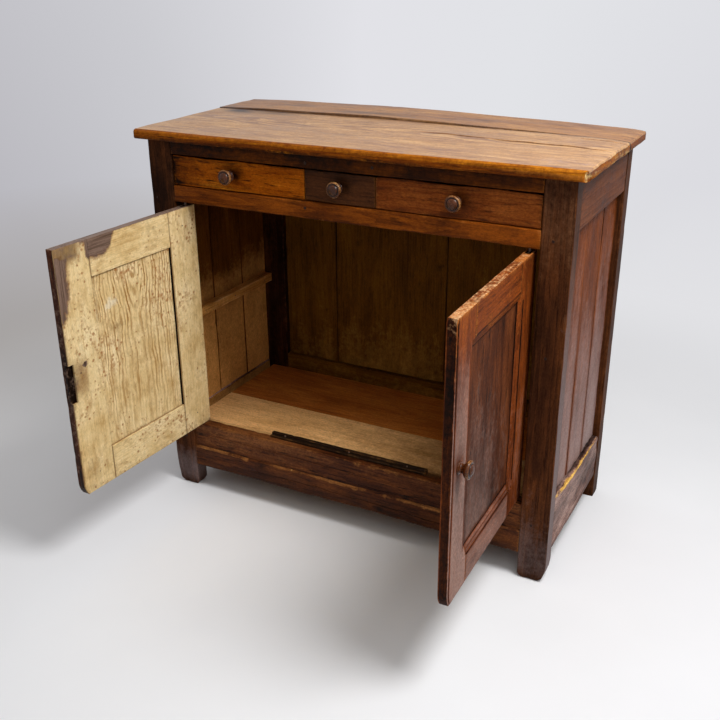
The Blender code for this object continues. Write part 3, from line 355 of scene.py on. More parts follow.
# Oil paint on the inside of the doors: cream, brushed along the wood, foxed with rust and rubbed through at
# the corners. The panel has a comb graining drawn into a darker glaze, in the arches of flat sawn oak.
def paintedDoor(name, grained, look):
    material, tree = newMaterial(name)
    look = {**doorLook, **look}
    wood = woodPattern(tree, look)
    place, rub = wood["place"], wood["rub"]
    soft = addNode(tree, "TexNoise", {"Vector": place, "Scale": 9.0, "Detail": 4.0, "Roughness": 0.6},
                   out="Fac")
    brush = addNode(tree, "Math", (wood["fibre"], 0.55, soft), operation="MULTIPLY_ADD")
    colour = addNode(tree, "ValToRGB", (brush,),
                     ((0.52, "c49e64"), (0.68, "dfc189"), (0.84, "ebd19d"), (1.0, "f2ddae")))
    if grained:
        # upright lines that close in a few nested vees high in the middle, and fade out on the bevelled foot
        wave = addNode(tree, "Mapping", {"Vector": place, "Scale": (7.0, 11.0, 0.0)})
        sway = addNode(tree, "TexNoise", {"Vector": wave, "Scale": 1.0, "Detail": 4.0, "Roughness": 0.6},
                       out="Color")
        swayed = addNode(tree, "VectorMath", (sway, (0.06, 0.042, 0.0), place),
                         operation="MULTIPLY_ADD")
        along, across, through = addNode(tree, "SeparateXYZ", (swayed,), out=None)
        vee = addNode(tree, "MapRange",
                      {"Value": along, "From Min": 0.270, "From Max": 0.110, "To Max": 0.036})
        middle = addNode(tree, "Math", (across, 0.022), operation="SUBTRACT")
        flat = addNode(tree, "CombineXYZ", {1: middle, 2: vee})
        lines = addNode(tree, "TexWave",
                        {"Vector": flat, "Scale": waveLength / 0.0088, "Distortion": 2.6, "Detail": 3.0,
                         "Detail Scale": 1.5, "Detail Roughness": 0.65},
                        out="Fac", wave_type="RINGS", rings_direction="X")
        drawn = 1.0
        for value, start, end, least in ((lines, 0.40, 0.84, 0.0), (wood["figure"], 0.40, 0.60, 0.08),
                                         (along, -0.205, 0.16, 0.35), (along, -0.19, -0.175, 0.0)):
            share = addNode(tree, "MapRange",
                            {"Value": value, "From Min": start, "From Max": end, "To Min": least})
            drawn = addNode(tree, "Math", (drawn, share), operation="MULTIPLY")
        colour = addNode(tree, "Mix", {0: drawn, 6: colour, 7: toLinear("9c6a28")}, out=2, data_type="RGBA")
    # ochre clouds where damp got in, rust specks of all sizes, thicker in patches, and smears of rust
    clouds = stretched(tree, place, 16.0, 34.0, 5.0, 0.7)
    cloud = addNode(tree, "MapRange", {"Value": clouds, "From Min": 0.50, "From Max": 0.72, "To Max": 0.75})
    cell = addNode(tree, "TexVoronoi", {"Vector": place, "Scale": 96.0, "Randomness": 1.0}, out=None)
    pick = addNode(tree, "SeparateColor", (cell["Color"],))
    near = addNode(tree, "Math", (pick, 0.66, -0.62), operation="MULTIPLY_ADD")
    patch = addNode(tree, "Math", (soft, 1.5, near), operation="MULTIPLY_ADD")
    ragged = addNode(tree, "Math", (rub, 0.95, cell["Distance"]), operation="MULTIPLY_ADD")
    gap = addNode(tree, "Math", (patch, ragged), operation="SUBTRACT")
    speck = addNode(tree, "MapRange", {"Value": gap, "From Min": -0.08, "From Max": 0.14, "To Max": 0.75})
    smear = brokenMask(tree, stretched(tree, place, 70.0, 120.0, 4.0, 0.7), soft, 0.7, 0.94, 1.06, 0.6)
    # handling dirt with painted shade, and chalk, from the tone mark
    dirtAndShade = brokenMask(tree, wood["tone"], rub, 0.9, 0.92, 0.45, 0.8)
    chalk = brokenMask(tree, wood["tone"], rub, 0.9, 1.12, 1.30, 0.6)
    for mask, over in ((cloud, "b08448"), (speck, "a0622a"), (smear, "a96f34"), (dirtAndShade, "86633a"),
                       (chalk, "efe4c8")):
        colour = addNode(tree, "Mix", {0: mask, 6: colour, 7: toLinear(over)}, out=2, data_type="RGBA")
    # where the paint is gone: outside faces, bare patches, rubbed edges
    patches = brokenMask(tree, wood["raw"], rub, 0.9, 0.78, 1.10)
    edges = brokenMask(tree, wood["wear"], rub, 1.1, 1.36, 1.46)
    bare = addNode(tree, "Math", (patches, edges), operation="MAXIMUM")
    on = brokenMask(tree, wood["paint"], rub, 0.5, 0.70, 0.78)
    painted = addNode(tree, "Math", (on, bare), operation="SUBTRACT", use_clamp=True)
    colour = addNode(tree, "Mix", {0: painted, 6: wood["colour"], 7: colour}, out=2, data_type="RGBA")
    rough = addNode(tree, "Math", (painted, 0.14, wood["rough"]), operation="MULTIPLY_ADD")
    height = addNode(tree, "Math", (painted, 0.7, wood["height"]), operation="MULTIPLY_ADD")
    finishMaterial(tree, look, colour, rough, height, wood["grit"])
    return material


creamDoor = paintedDoor("creamPaintedDoor", False, {})
grainedDoor = paintedDoor("combGrainedPanel", True, {})
# The right door's outside: orange brown where it is handled, gone dull and greyish low down with dust and a
# painted sheen.
brown = {"pale": "a0857a", "raw": ("74492c", "cfa274"), "figureShare": 0.50, "fibreShare": 0.36,
         "blotchShare": 1.15, "grit": 0.42, "streak": 0.95, "rough": (0.46, 0.68), "gloss": 0.06}
brownDoor = paintedDoor("stainedDoorFrame", False, {**brown, "streak": 0.55})
brownPanel = paintedDoor("stainedDoorPanel", True, {
    **brown, "pale": "90807a",
    "colours": ((0.12, "251007"), (0.42, "47220f"), (0.68, "633318"), (0.92, "7c4826")),
})


def pitted(name, scale, detail, stops, rough, look, metal=None):
    material, tree = newMaterial(name)
    place = addNode(tree, "TexCoord", out="Object")
    pits = addNode(tree, "TexNoise", {"Vector": place, "Scale": scale, "Detail": detail}, out="Fac")
    colour = addNode(tree, "ValToRGB", (pits,), stops)
    if metal:
        share = addNode(tree, "MapRange", {"Value": pits, "From Min": metal[0], "From Max": metal[1]})
        tree.links.new(share, tree.nodes["Principled BSDF"].inputs["Metallic"])
    dull = addNode(tree, "MapRange",
                   {"Value": pits, "From Min": 0.3, "From Max": 0.7, "To Min": rough[0], "To Max": rough[1]})
    finishMaterial(tree, look, colour, dull, pits)
    return material


# Wrought iron, hammered and rusted: dull grey with brown bloom.
iron = pitted("rustedWroughtIron", 180.0, 5.0, ((0.38, "59524b"), (0.52, "6a5444"), (0.66, "6b3d20")),
              (0.42, 0.75), {"bump": 0.5, "gloss": 0.5}, metal=(0.62, 0.44))
# Oak pegs, end grain out, black with polish.
pegs = pitted("blackenedPegs", 700.0, 3.0, ((0.35, "120905"), (0.55, "2a160b"), (0.72, "5a3418")),
              (0.4, 0.65), {"bump": 0.4, "gloss": 0.2})
print("materials made:", len(bpy.data.materials))


def waves(rng, s, count=5, longest=0.6, shortest=0.03):
    total = np.zeros_like(s)
    for size in np.geomspace(longest, shortest, count):
        total = total + math.sqrt(size / longest) * np.sin(2 * math.pi * s / size + rng.uniform(0, 6.283))
    return total / 1.8


def bell(distance, reach):
    return np.exp(-(distance / reach) ** 2)


def clamped(share):
    return np.clip(share, 0, 1)


# One worn board: a rounded section drawn along its length, with ragged arrises, chips, shakes and a slight
# bow. Sides count round the section: 0 low v, 1 high u, 2 high v, 3 low u, where u and v are the axes left
# over. The arrises are 4 to 7, each before its side, and the ends are 9.
boardMake = {
    "radius": 0.0016,
    "step": 0.009,         # between points along the board
    "cross": 0.016,        # between points across a side
    "ragged": 0.5,
    "chips": 0.0,          # chips for each metre of arris
    "chipDeep": 0.003,
    "bow": 0.0003,
    "endRound": 0.0012,
    "worn": 1.0,
    "rubReach": 0.0028,    # how far the wear of an arris reaches on to the sides
    "cracks": (),          # values named below
    "stations": (),        # more points along the board
    "extra": {},           # more points across a side, as shares
    "shape": None,         # moves a copy of the points
    "shade": None,         # paints the marks
    "pith": None,          # where the heart of the tree lies
    "tilt": None,          # of the grain to the board
}
# side, share across it, start and end along the board, half width, depth, straying, slant, lift of one lip
crackNames = ("side", "share", "start", "end", "half", "deep", "stray", "slant", "lift")


def board(low, high, axis, seed, **settings):
    make = {**boardMake, **settings}
    rng = np.random.default_rng(seed)
    low, high = np.array(low, float), np.array(high, float)
    uAxis, vAxis = [i for i in range(3) if i != axis]
    span = high[axis] - low[axis]
    wide = np.array([high[uAxis] - low[uAxis], high[vAxis] - low[vAxis]])
    rounding = make["endRound"]
    turn = np.radians([0.0, 35.0, 65.0])
    ends, insets = rounding * (1 - np.cos(turn)), rounding * (1 - np.sin(turn))
    inner = np.linspace(rounding, span - rounding, max(3, int(span / make["step"])))
    more = [t - low[axis] for t in make["stations"] if rounding < t - low[axis] < span - rounding]
    inner = np.unique(np.round(np.concatenate([inner, more]), 6))
    s = np.concatenate([ends, inner, span - ends[::-1]])
    inset = np.concatenate([insets, np.zeros(len(inner)), insets[::-1]])
    limit = 0.46 * wide.min()
    radii = np.broadcast_to(make["radius"], 4)
    wornShare = np.broadcast_to(make["worn"], 4)
    corner, rubs = [], []
    for k in range(4):
        r = radii[k] * (1 + make["ragged"] * waves(rng, s, 6, 0.5, 0.025))
        scar = np.zeros_like(s)
        for chip in range(rng.poisson(make["chips"] * span)):
            middle, reach = rng.uniform(0, span), rng.uniform(0.004, 0.022)
            deep = make["chipDeep"] * rng.uniform(0.3, 1.0)
            scar = np.maximum(scar, deep * clamped(1 - (np.abs(s - middle) / reach) ** 1.6))
        corner.append(np.clip(r + scar - inset, 0.0002, limit))
        rub = clamped(0.62 + 0.5 * waves(rng, s, 6, 0.35, 0.02)) + 0.8 * scar / make["chipDeep"]
        rubs.append(clamped(rub) * wornShare[k])
    bowU, bowV = make["bow"] * waves(rng, s, 3, 1.1, 0.25), make["bow"] * waves(rng, s, 3, 1.1, 0.25)
    u0, u1 = low[uAxis] + inset + bowU, high[uAxis] - inset + bowU
    v0, v1 = low[vAxis] + inset + bowV, high[vAxis] - inset + bowV
    centres = [(u0 + corner[0], v0 + corner[0]), (u1 - corner[1], v0 + corner[1]),
               (u1 - corner[2], v1 - corner[2]), (u0 + corner[3], v1 - corner[3])]
    first = np.radians([180.0, 270.0, 0.0, 90.0])
    outward = ((0, -1), (1, 0), (0, 1), (-1, 0))
    rows = []   # u, v, side, wear, tone for each point round the section

    def onArc(k, angle):
        return centres[k][0] + corner[k] * np.cos(angle), centres[k][1] + corner[k] * np.sin(angle)

    for k in range(4):
        for share in (0.0, 0.25, 0.5, 0.75, 1.0):
            u, v = onArc(k, first[k] + share * math.pi / 2)
            rows.append((u, v, 4 + k, rubs[k], np.full_like(s, 0.5)))
        n = (k + 1) % 4
        su, sv = onArc(k, first[k] + math.pi / 2)
        eu, ev = onArc(n, first[n])
        size = wide[0] if k in (0, 2) else wide[1]
        lip = min(0.2, 0.002 / size)
        shares = list(np.linspace(lip, 1 - lip, max(2, int(size / make["cross"]) + 1)))
        flagged = [(share, 0, None) for share in shares + list(make["extra"].get(k, ()))]
        mine = [dict(zip(crackNames, crack)) for crack in make["cracks"] if crack[0] == k]
        drift = 0.0
        for crack in mine:
            clear = (2.5 * crack["half"] + crack["stray"]) / size
            flagged = [f for f in flagged if abs(f[0] - crack["share"]) > clear]
            for step in (-1, 0, 1):
                flagged.append((crack["share"] + step * crack["half"] / size, 1 + step, crack))
            along = (s + low[axis] - (crack["start"] + crack["end"]) / 2) / (crack["end"] - crack["start"])
            drift = drift + crack["slant"] * np.clip(along, -0.5, 0.5) / size   # rows beside it lean with it
            gape = clamped(1 - (2 * along) ** 4) * (0.75 + 0.4 * waves(rng, s, 5, 0.3, 0.02))
            crack["gape"] = np.clip(gape, 0, 1.3)
            crack["path"] = crack["stray"] * waves(rng, s, 5, 0.5, 0.03) / size
        phase = rng.uniform(0, 6.283, 3)
        for share, kind, crack in sorted(flagged, key=lambda f: f[0]):
            swell = np.sin(s * 23.0 + 9 * share + phase[0]) + np.sin(s * 61.0 - 14 * share + phase[1])
            ripple = make["bow"] * 0.6 * swell * math.sqrt(4 * share * (1 - share))
            tone = np.full_like(s, 0.5)
            at = share
            for other in mine:
                if share < other["share"] and not (crack is other and kind == 1):
                    off = (share - other["share"]) * size
                    ripple = ripple + other["lift"] * other["gape"] * np.exp(off / 0.05)
            if crack is not None:
                at = share + crack["path"]
                if kind == 1:
                    ripple = ripple - crack["deep"] * crack["gape"]
                    tone = 0.5 - 0.5 * clamped(crack["gape"] * 3)
            if mine:
                at = at + drift * np.interp(share, (0.0, mine[0]["share"], 1.0), (0.0, 1.0, 0.0))
            u = su + at * (eu - su) + outward[k][0] * ripple
            v = sv + at * (ev - sv) + outward[k][1] * ripple
            fade = rubs[k] * np.exp(-share * size / make["rubReach"])
            fade = fade + rubs[n] * np.exp(-(1 - share) * size / make["rubReach"])
            rows.append((u, v, k, fade, tone))
    count, total = len(rows), len(s)
    points = np.zeros((total, count, 3))
    marks = np.zeros((total, count, 4))
    endWear = 0.75 * np.exp(-np.minimum(s, span - s) / 0.002)
    for j, (u, v, side, wear, tone) in enumerate(rows):
        points[:, j, axis] = low[axis] + s
        points[:, j, uAxis] = u
        points[:, j, vAxis] = v
        marks[:, j, 0] = clamped(np.maximum(wear, endWear))
        marks[:, j, 1] = tone
    points, marks = points.reshape(-1, 3), marks.reshape(-1, 4)
    sides = np.tile([row[2] for row in rows], total)
    pith = make["pith"]
    if pith is None:   # flat sawn: the heart lies under the wide face
        deep = rng.uniform(0.03, 0.09)
        across = rng.uniform(-0.3, 0.3)
        pith = (across * wide[0], deep) if wide[0] >= wide[1] else (deep, across * wide[1])
    tilt = rng.normal(0, 0.025) if make["tilt"] is None else make["tilt"]
    shift = 0.0 if make["pith"] is not None else rng.uniform(3, 40)
    middle = (low + high) / 2
    grain = np.zeros_like(points)
    grain[:, 0] = points[:, axis] - middle[axis] + shift
    grain[:, 1] = points[:, uAxis] - middle[uAxis] + pith[0]
    grain[:, 2] = points[:, vAxis] - middle[vAxis] + pith[1]
    grain[:, 1 if wide[0] < wide[1] else 2] += tilt * (points[:, axis] - middle[axis])
    if make["shade"] is not None:
        make["shade"](points, marks, sides)
    if make["shape"] is not None:
        made = points.copy()
        make["shape"](points, made)
        points = made
    flip = axis == 1
    faces, faceSides = [], []
    for i in range(total - 1):
        for j in range(count):
            n = (j + 1) % count
            face = (i * count + j, i * count + n, (i + 1) * count + n, (i + 1) * count + j)
            faces.append(face[::-1] if flip else face)
            faceSides.append(min(rows[j][2], rows[n][2]) if abs(j - n) == 1 else rows[j][2])
    near = tuple(range(count))
    far = tuple((total - 1) * count + j for j in range(count))
    faces.append(near if flip else near[::-1])
    faces.append(far[::-1] if flip else far)
    return points, faces, grain, marks, faceSides + [9, 9]


def turnedPoints(points, turn):
    if turn is None:
        return points
    return points @ np.array(turn.to_3x3()).T + np.array(turn.translation)


sharpAngle = math.radians(40)


def buildPiece(name, boards, material, body, nodes, slot, turn=None, merge=False, inside=None):
    points, faces, grain, marks, sides, base = [], [], [], [], [], 0
    for p, f, g, m, sidesOf in boards:
        sides += sidesOf
        points.append(turnedPoints(p, turn))
        grain.append(g)
        marks.append(m)
        faces += [tuple(i + base for i in face) for face in f]
        base += len(p)
    mesh = bpy.data.meshes.new(name)
    mesh.from_pydata(np.concatenate(points).tolist(), [], faces)
    grainOf = mesh.attributes.new("grain", "FLOAT_VECTOR", "POINT")
    grainOf.data.foreach_set("vector", np.concatenate(grain).ravel())
    marksOf = mesh.attributes.new("marks", "FLOAT_COLOR", "POINT")
    marksOf.data.foreach_set("color", np.concatenate(marks).ravel())
    if merge:   # points that a moulding or a recess pushed together
        work = bmesh.new()
        work.from_mesh(mesh)
        bmesh.ops.remove_doubles(work, verts=work.verts, dist=0.00002)
        bmesh.ops.dissolve_degenerate(work, edges=work.edges, dist=0.00001)
        work.to_mesh(mesh)
        work.free()
    mesh.shade_smooth()
    mesh.set_sharp_from_angle(angle=sharpAngle)
    mesh.materials.append(material)
    if inside is not None:   # another wood on some sides: material, sides
        mesh.materials.append(inside[0])
        mesh.polygons.foreach_set("material_index", [int(side in inside[1]) for side in sides])
    thing = newObject(name, mesh)
    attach(thing, body)
    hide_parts(*nodes)
    return thing


def boxOf(node, axis=None, start=None, end=None):   # a node's box, with other limits along one axis
    low, high = (np.array(corner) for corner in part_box(node))
    if axis is not None:
        low[axis], high[axis] = start, end
    return low, high


def spot(points, place, reach):
    return np.exp(-(((points - np.array(place)) / np.array(reach)) ** 2).sum(1))


def stains(points, spots):   # strength, place and reach of each
    return sum(strength * spot(points, place, reach) for strength, place, reach in spots)


postLeft, postRight = boxOf("post_front_left"), boxOf("post_front_right")
rearLeft, rearRight = boxOf("post_rear_left"), boxOf("post_rear_right")
frontY, postBack, rearFront = postLeft[0][1], postLeft[1][1], rearLeft[0][1]
innerLeft, innerRight = postLeft[1][0], postRight[0][0]
fit = 0.0003               # gap between pieces that touch
into = 0.02                # how far boards run in behind the posts
# axis, start and end of pieces between the posts
betweenPosts = (0, innerLeft + fit, innerRight - fit)
betweenRears = (0, rearLeft[1][0] + fit, rearRight[0][0] - fit)
frontToRear = (1, postBack + fit, rearFront - fit)
behindPosts = (0, innerLeft - into, innerRight + into)


def blackened(points, marks, sides):
    marks[:, :2] = (0.0, 0.05)


def jointsOf(start, end, shares):   # edges of the boards that stand side by side
    return [start, *(start + (end - start) * share for share in shares), end]


# Loose tongues that keep light out of the joints of upright boards.
def tongues(low, high, joints, across, reach):
    thin = 1 - across
    deep = high[thin] - low[thin]
    made = []
    for n, joint in enumerate(joints):
        start, end = np.array(low, float), np.array(high, float)
        start[thin] += 0.35 * deep
        end[thin] -= 0.35 * deep
        start[across], end[across] = joint - reach, joint + reach
        start[2] += 0.002
        end[2] -= 0.002
        made.append(board(start, end, 2, 400 + n, radius=0.0004, bow=0.0001, worn=0.0, shade=blackened))
    return made


# Top: a wide front board with a worn nose and an open shake, and a darker board behind an open joint. The
# rear board has bowed upwards along its length and has taken the edge of the front one with it.
topMake = {
    # places along X, and how far the bow rises there
    "bow": ((-0.557, -0.40, -0.25, -0.09, 0.21, 0.37, 0.52, 0.557),
            (0.0070, 0.0112, 0.0124, 0.0145, 0.0095, 0.0063, 0.0012, -0.0028)),
    "bowFront": (0.62, 1.0),         # part of the rise that the front board takes, and at its right end
    "jointBack": 0.010,              # the joint lies further back than the boards were cut
    # places along Y, and how far the left end bulges there
    "bulge": ((-0.055, -0.025, 0.07, 0.19, 0.29), (0.0065, 0.009, 0.0115, 0.0075, 0.001)),
    "bulgeLong": (-0.40, 0.157),     # start and length of the bulge towards the left end
    "cornerRound": (0.004, 0.018),   # left, right
    "endWorn": (0.006, 0.0028),      # reach and drop of the worn right end
    "endGrain": 0.0026,              # points this near to the right end lie in its end grain
    # along X: how dark and how rubbed the nose is, how dark the rear board is
    "noseDark": ((-0.55, 0.1, 0.35, 0.55), (0.06, 0.0, -0.22, -0.48)),
    "noseRubbed": ((-0.55, 0.1, 0.55), (0.55, 0.62, 0.85)),
    "backDark": ((-0.5, -0.1, 0.1), (0.12, 0.08, 0.0)),
    "nick": -0.4597,                 # a pale nick in the nose
    # strength, place and reach of each stain
    "stains": ((0.46, (-0.4785, 0.265), (0.05, 0.03)), (0.30, (-0.36, 0.27), (0.10, 0.03)),
               (0.12, (0.05, 0.10), (0.30, 0.03)), (0.14, (0.36, 0.165), (0.26, 0.012))),
    "stainsBack": ((0.2, (-0.353, 0.386), (0.07, 0.03)), (0.30, (-0.10, 0.330), (0.16, 0.03))),
    "shakes": ((2, 0.345, 0.080, 0.590, 0.0022, 0.0045, 0.0016, 0.040, 0.0022),
               (2, 0.07, 0.450, 0.580, 0.0018, 0.0035, 0.0012, 0.004, 0.0012)),
    "endStations": (0.001, 0.002, 0.003, 0.0045, 0.006, 0.008, 0.010, 0.012),
}


def makeTop():
    low, high = boxOf("top_board_front")
    lowBack, highBack = boxOf("top_board_back")
    half, seam = high[:2]

    def rise(points, low, high):
        up = clamped((points[:, 2] - low[2]) / (high[2] - low[2]))
        return up * np.interp(points[:, 0], *topMake["bow"])

    def wornEnd(x, z, low, high):
        reach, drop = topMake["endWorn"]
        over = clamped((x - half + reach) / reach) * (z > (low[2] + high[2]) / 2)
        return drop * (1 - np.sqrt(1 - 0.98 * over ** 2))

    def bulging(x):
        start, long = topMake["bulgeLong"]
        return clamped((start - x) / long)

    def darkness(points, key):
        return stains(points, [(dark, (*at, high[2]), (*reach, 1)) for dark, at, reach in topMake[key]])

    def shaped(points, made):
        x, y, z = points.T
        share = clamped((y - low[1] - 0.04) / (seam - low[1] - 0.04))
        taken = np.interp(x, (0.30, half), topMake["bowFront"])
        made[:, 2] += taken * share ** 2 * rise(points, low, high)
        roundness = np.where(x < 0, *topMake["cornerRound"])
        overX, overY = np.abs(x) - (half - roundness), low[1] + roundness - y
        reach = np.hypot(np.maximum(overX, 0), np.maximum(overY, 0))
        pull = np.where((overX > 0) & (overY > 0), np.minimum(1, roundness / np.maximum(reach, 1e-6)), 1.0)
        made[:, 0] = np.where(pull < 1, np.sign(x) * (half - roundness + overX * pull), x)
        made[:, 1] = np.where(pull < 1, low[1] + roundness - overY * pull, y + topMake["jointBack"] * share)
        made[:, 0] -= np.interp(y, *topMake["bulge"]) * bulging(x)
        chewed = 0.0009 * np.sin(y * 47 + 2) + 0.0006 * np.sin(y * 131) + 0.0003 * np.sin(y * 287 + z * 400)
        made[:, 0] += chewed * clamped((x - 0.535) / 0.022)
        made[:, 2] -= wornEnd(x, z, low, high)

    def shade(points, marks, sides):
        wear, tone, bare, coat = marks.T
        x, y, z = points.T
        top, face, end = sides == 2, (sides == 3) | (sides == 4), x > half - topMake["endGrain"]
        tone -= top * (darkness(points, "stains") + 0.45 * bell(y - seam, 0.006))
        tone += top * 0.10 * spot(points, (0.50, -0.01, high[2]), (0.18, 0.07, 1))   # painted light: the right front corner paler
        wear += top * 0.30 * bell(y - low[1], 0.022)   # rubbed warm towards the nose
        tone -= face * np.interp(x, *topMake["noseDark"])
        # painted shade: darker towards the underside of the nose
        tone -= face * np.interp(z, (low[2], low[2] + 0.006, high[2] - 0.010), (0.40, 0.22, 0.0))
        wear[:] = np.where(sides == 7, np.interp(x, *topMake["noseRubbed"]), wear)
        wear[:] = np.where(end, 0.62 + 0.25 * np.sin(y * 53), wear)   # end grain
        tone -= 0.10 * end
        splinter = np.interp(y, (low[1], 0.05, 0.16, seam), (0.34, 0.38, 0.52, 0.55))
        bare[:] = np.where(end, splinter - 0.12 * (z > low[2] + 0.014), bare)
        bare += 0.5 * spot(points, (half, low[1], high[2] - 0.008), (0.010, 0.014, 0.010))   # rubbed corner, with a painted highlight
        tone += face * 0.8 * bell(x - topMake["nick"], 0.0012)   # a pale nick in the nose

    near = [sign * (half - t) for sign in (-1, 1) for t in topMake["endStations"]]
    front = board(low, high, 0, 11, radius=(0.0060, 0.0010, 0.0012, 0.0095), ragged=0.07, chips=2,
                  chipDeep=0.0020, bow=0.0006, endRound=0.0026, cracks=topMake["shakes"],
                  worn=(0.5, 0.3, 0.5, 0.55), shape=shaped, shade=shade, cross=0.012, step=0.007,
                  stations=near)
    buildPiece("topFront", [front], waxedTop, "case", ["top_board_front"], "top",
               inside=(darkNose, {0, 3, 4, 5, 7, 9}))

    def shapedBack(points, made):
        x, y, z = points.T
        share = clamped((highBack[1] - y) / (highBack[1] - lowBack[1]))
        made[:, 1] += (topMake["jointBack"] + 0.0008) * share
        made[:, 2] += rise(points, lowBack, highBack)
        made[:, 2] -= wornEnd(x, z, lowBack, highBack)
        made[:, 0] -= topMake["bulge"][1][-1] * share * bulging(x)

    def shadeBack(points, marks, sides):
        wear, tone, bare, coat = marks.T
        x, y, z = points.T
        dark = darkness(points, "stainsBack") + np.interp(x, *topMake["backDark"])
        tone += np.where(sides == 2, 0.05 + 0.08 * clamped(x) - dark, -0.1)
        # the edge in the open joint: dark with dirt and painted shade
        inJoint = (sides == 3) | (sides == 4) | (sides == 7)
        tone[inJoint] = 0.12
        wear[inJoint] = 0.0
        end = x > half - topMake["endGrain"]
        tone -= 0.15 * end
        wear[end] = 0.42
        bare[:] = np.where(end, np.interp(y, (seam, seam + 0.10), (0.42, 0.1)), bare)

    back = board(lowBack, highBack, 0, 12, radius=0.0016, chips=4, bow=0.0006, endRound=0.0022,
                 shade=shadeBack, shape=shapedBack, cross=0.012)
    buildPiece("topBack", [back], darkTop, "case", ["top_board_back"], "top_back",
               inside=(darkNose, {0, 1, 4, 5, 9}))


makeTop()
print("top made")


# Posts run down as feet; the front ones are worn away at their outer corners.
postMake = {
    # side, how far the foot is worn in and how far up, how pale it is and how far up
    "feet": {
        "post_front_left": (-1, 0.013, 0.100, 0.66, 0.09),
        "post_front_right": (1, 0.0120, 0.046, 0.24, 0.10),
    },
    "dustAndSheen": ((0.05, 0.30, 0.55, 0.72, 0.85), (0.46, 0.52, 0.36, 0.14, 0.08)),   # dust and a painted sheen up the right post's side
    "rearDark": {"post_rear_left": 0.34, "post_rear_right": 0.20},
}


def makePosts():
    for k, (name, (side, cut, rise, pale, paleRise)) in enumerate(postMake["feet"].items()):
        low, high = boxOf(name)
        inner = high[0] if side < 0 else low[0]
        wide = high[0] - low[0]
        middle = (low + high) / 2

        def worn(points, made):
            inset = cut * clamped(1 - points[:, 2] / rise) ** 1.7
            made[:, 0] = inner + (points[:, 0] - inner) * (1 - inset / wide)
            sole = clamped(1 - points[:, 2] / 0.013)
            ball = 1 - np.sqrt(clamped(1 - sole ** 2))   # rounded sole
            for i in (0, 1):
                made[:, i] -= 0.010 * ball * np.clip((points[:, i] - middle[i]) / (wide / 2), -1, 1)

        def shade(points, marks, sides):
            wear, tone, bare, coat = marks.T
            x, y, z = points.T
            tone += pale * bell(z - 0.05, paleRise)
            tone -= 0.25 * np.exp(-z / 0.010)   # dirt at the sole
            if side > 0:
                wear += (sides == 0) * 0.62 * bell(z - 0.86, 0.13)   # rubbed beside the drawers, partly a painted highlight up the post
                strip = bell(x - low[0], 0.013) * np.exp(-((z - 0.68) / 0.12) ** 4)
                tone -= (sides == 0) * 0.35 * strip
                # dust and a painted sheen on the side, paler low down
                tone += (sides == 1) * np.interp(z, *postMake["dustAndSheen"])
            else:
                tone -= 0.30

        made = board(low, high, 2, 21 + k, radius=0.0022, ragged=0.5, chips=7, chipDeep=0.0035, bow=0.0005,
                     worn=0.45, shape=worn, shade=shade, cross=0.011)
        buildPiece(name, [made], darkPost, "case", [name], "post")
    for k, (name, dark) in enumerate(postMake["rearDark"].items()):

        def shadeRear(points, marks, sides):
            marks[:, 1] -= dark
            marks[:, 1] -= 0.2 * np.exp(-points[:, 2] / 0.08)

        made = board(*boxOf(name), 2, 31 + k, radius=0.0020, chips=4, bow=0.0005, worn=0.5, shade=shadeRear)
        buildPiece(name, [made], darkPost, "case", [name], "post")


makePosts()
print("posts made")


# Front rails and the base: an upper rail set back behind a skirt with a rounded, battered ledge.
railMake = {
    "ledge": 0.0611,       # height of the skirt
    "railBack": 0.0045,    # the rail stands back behind the skirt
    "skirtThin": 0.0105,   # less than the rail's depth
    # along X: how pale the rails over and under the drawers are
    "topPale": ((-0.45, 0.1, 0.45), (0.0, 0.03, 0.08)),
    "drawerPale": ((0.05, 0.25, 0.40, 0.45), (0.02, 0.16, 0.26, 0.30)),
    "railCracks": ((3, 0.42, -0.43, 0.10, 0.0009, 0.003, 0.0022, 0.006, 0.0),
                   (3, 0.74, 0.02, 0.44, 0.0008, 0.003, 0.0020, 0.004, 0.0)),
    "skirtCracks": ((3, 0.55, -0.30, 0.40, 0.0009, 0.003, 0.0022, 0.008, 0.0),),
    "knots": ((0.35, (-0.252, 0.115), (0.014, 0.008)), (0.35, (0.10, 0.082), (0.012, 0.007))),
    "scars": (-0.158, 0.256),   # bare patches along the ledge
}


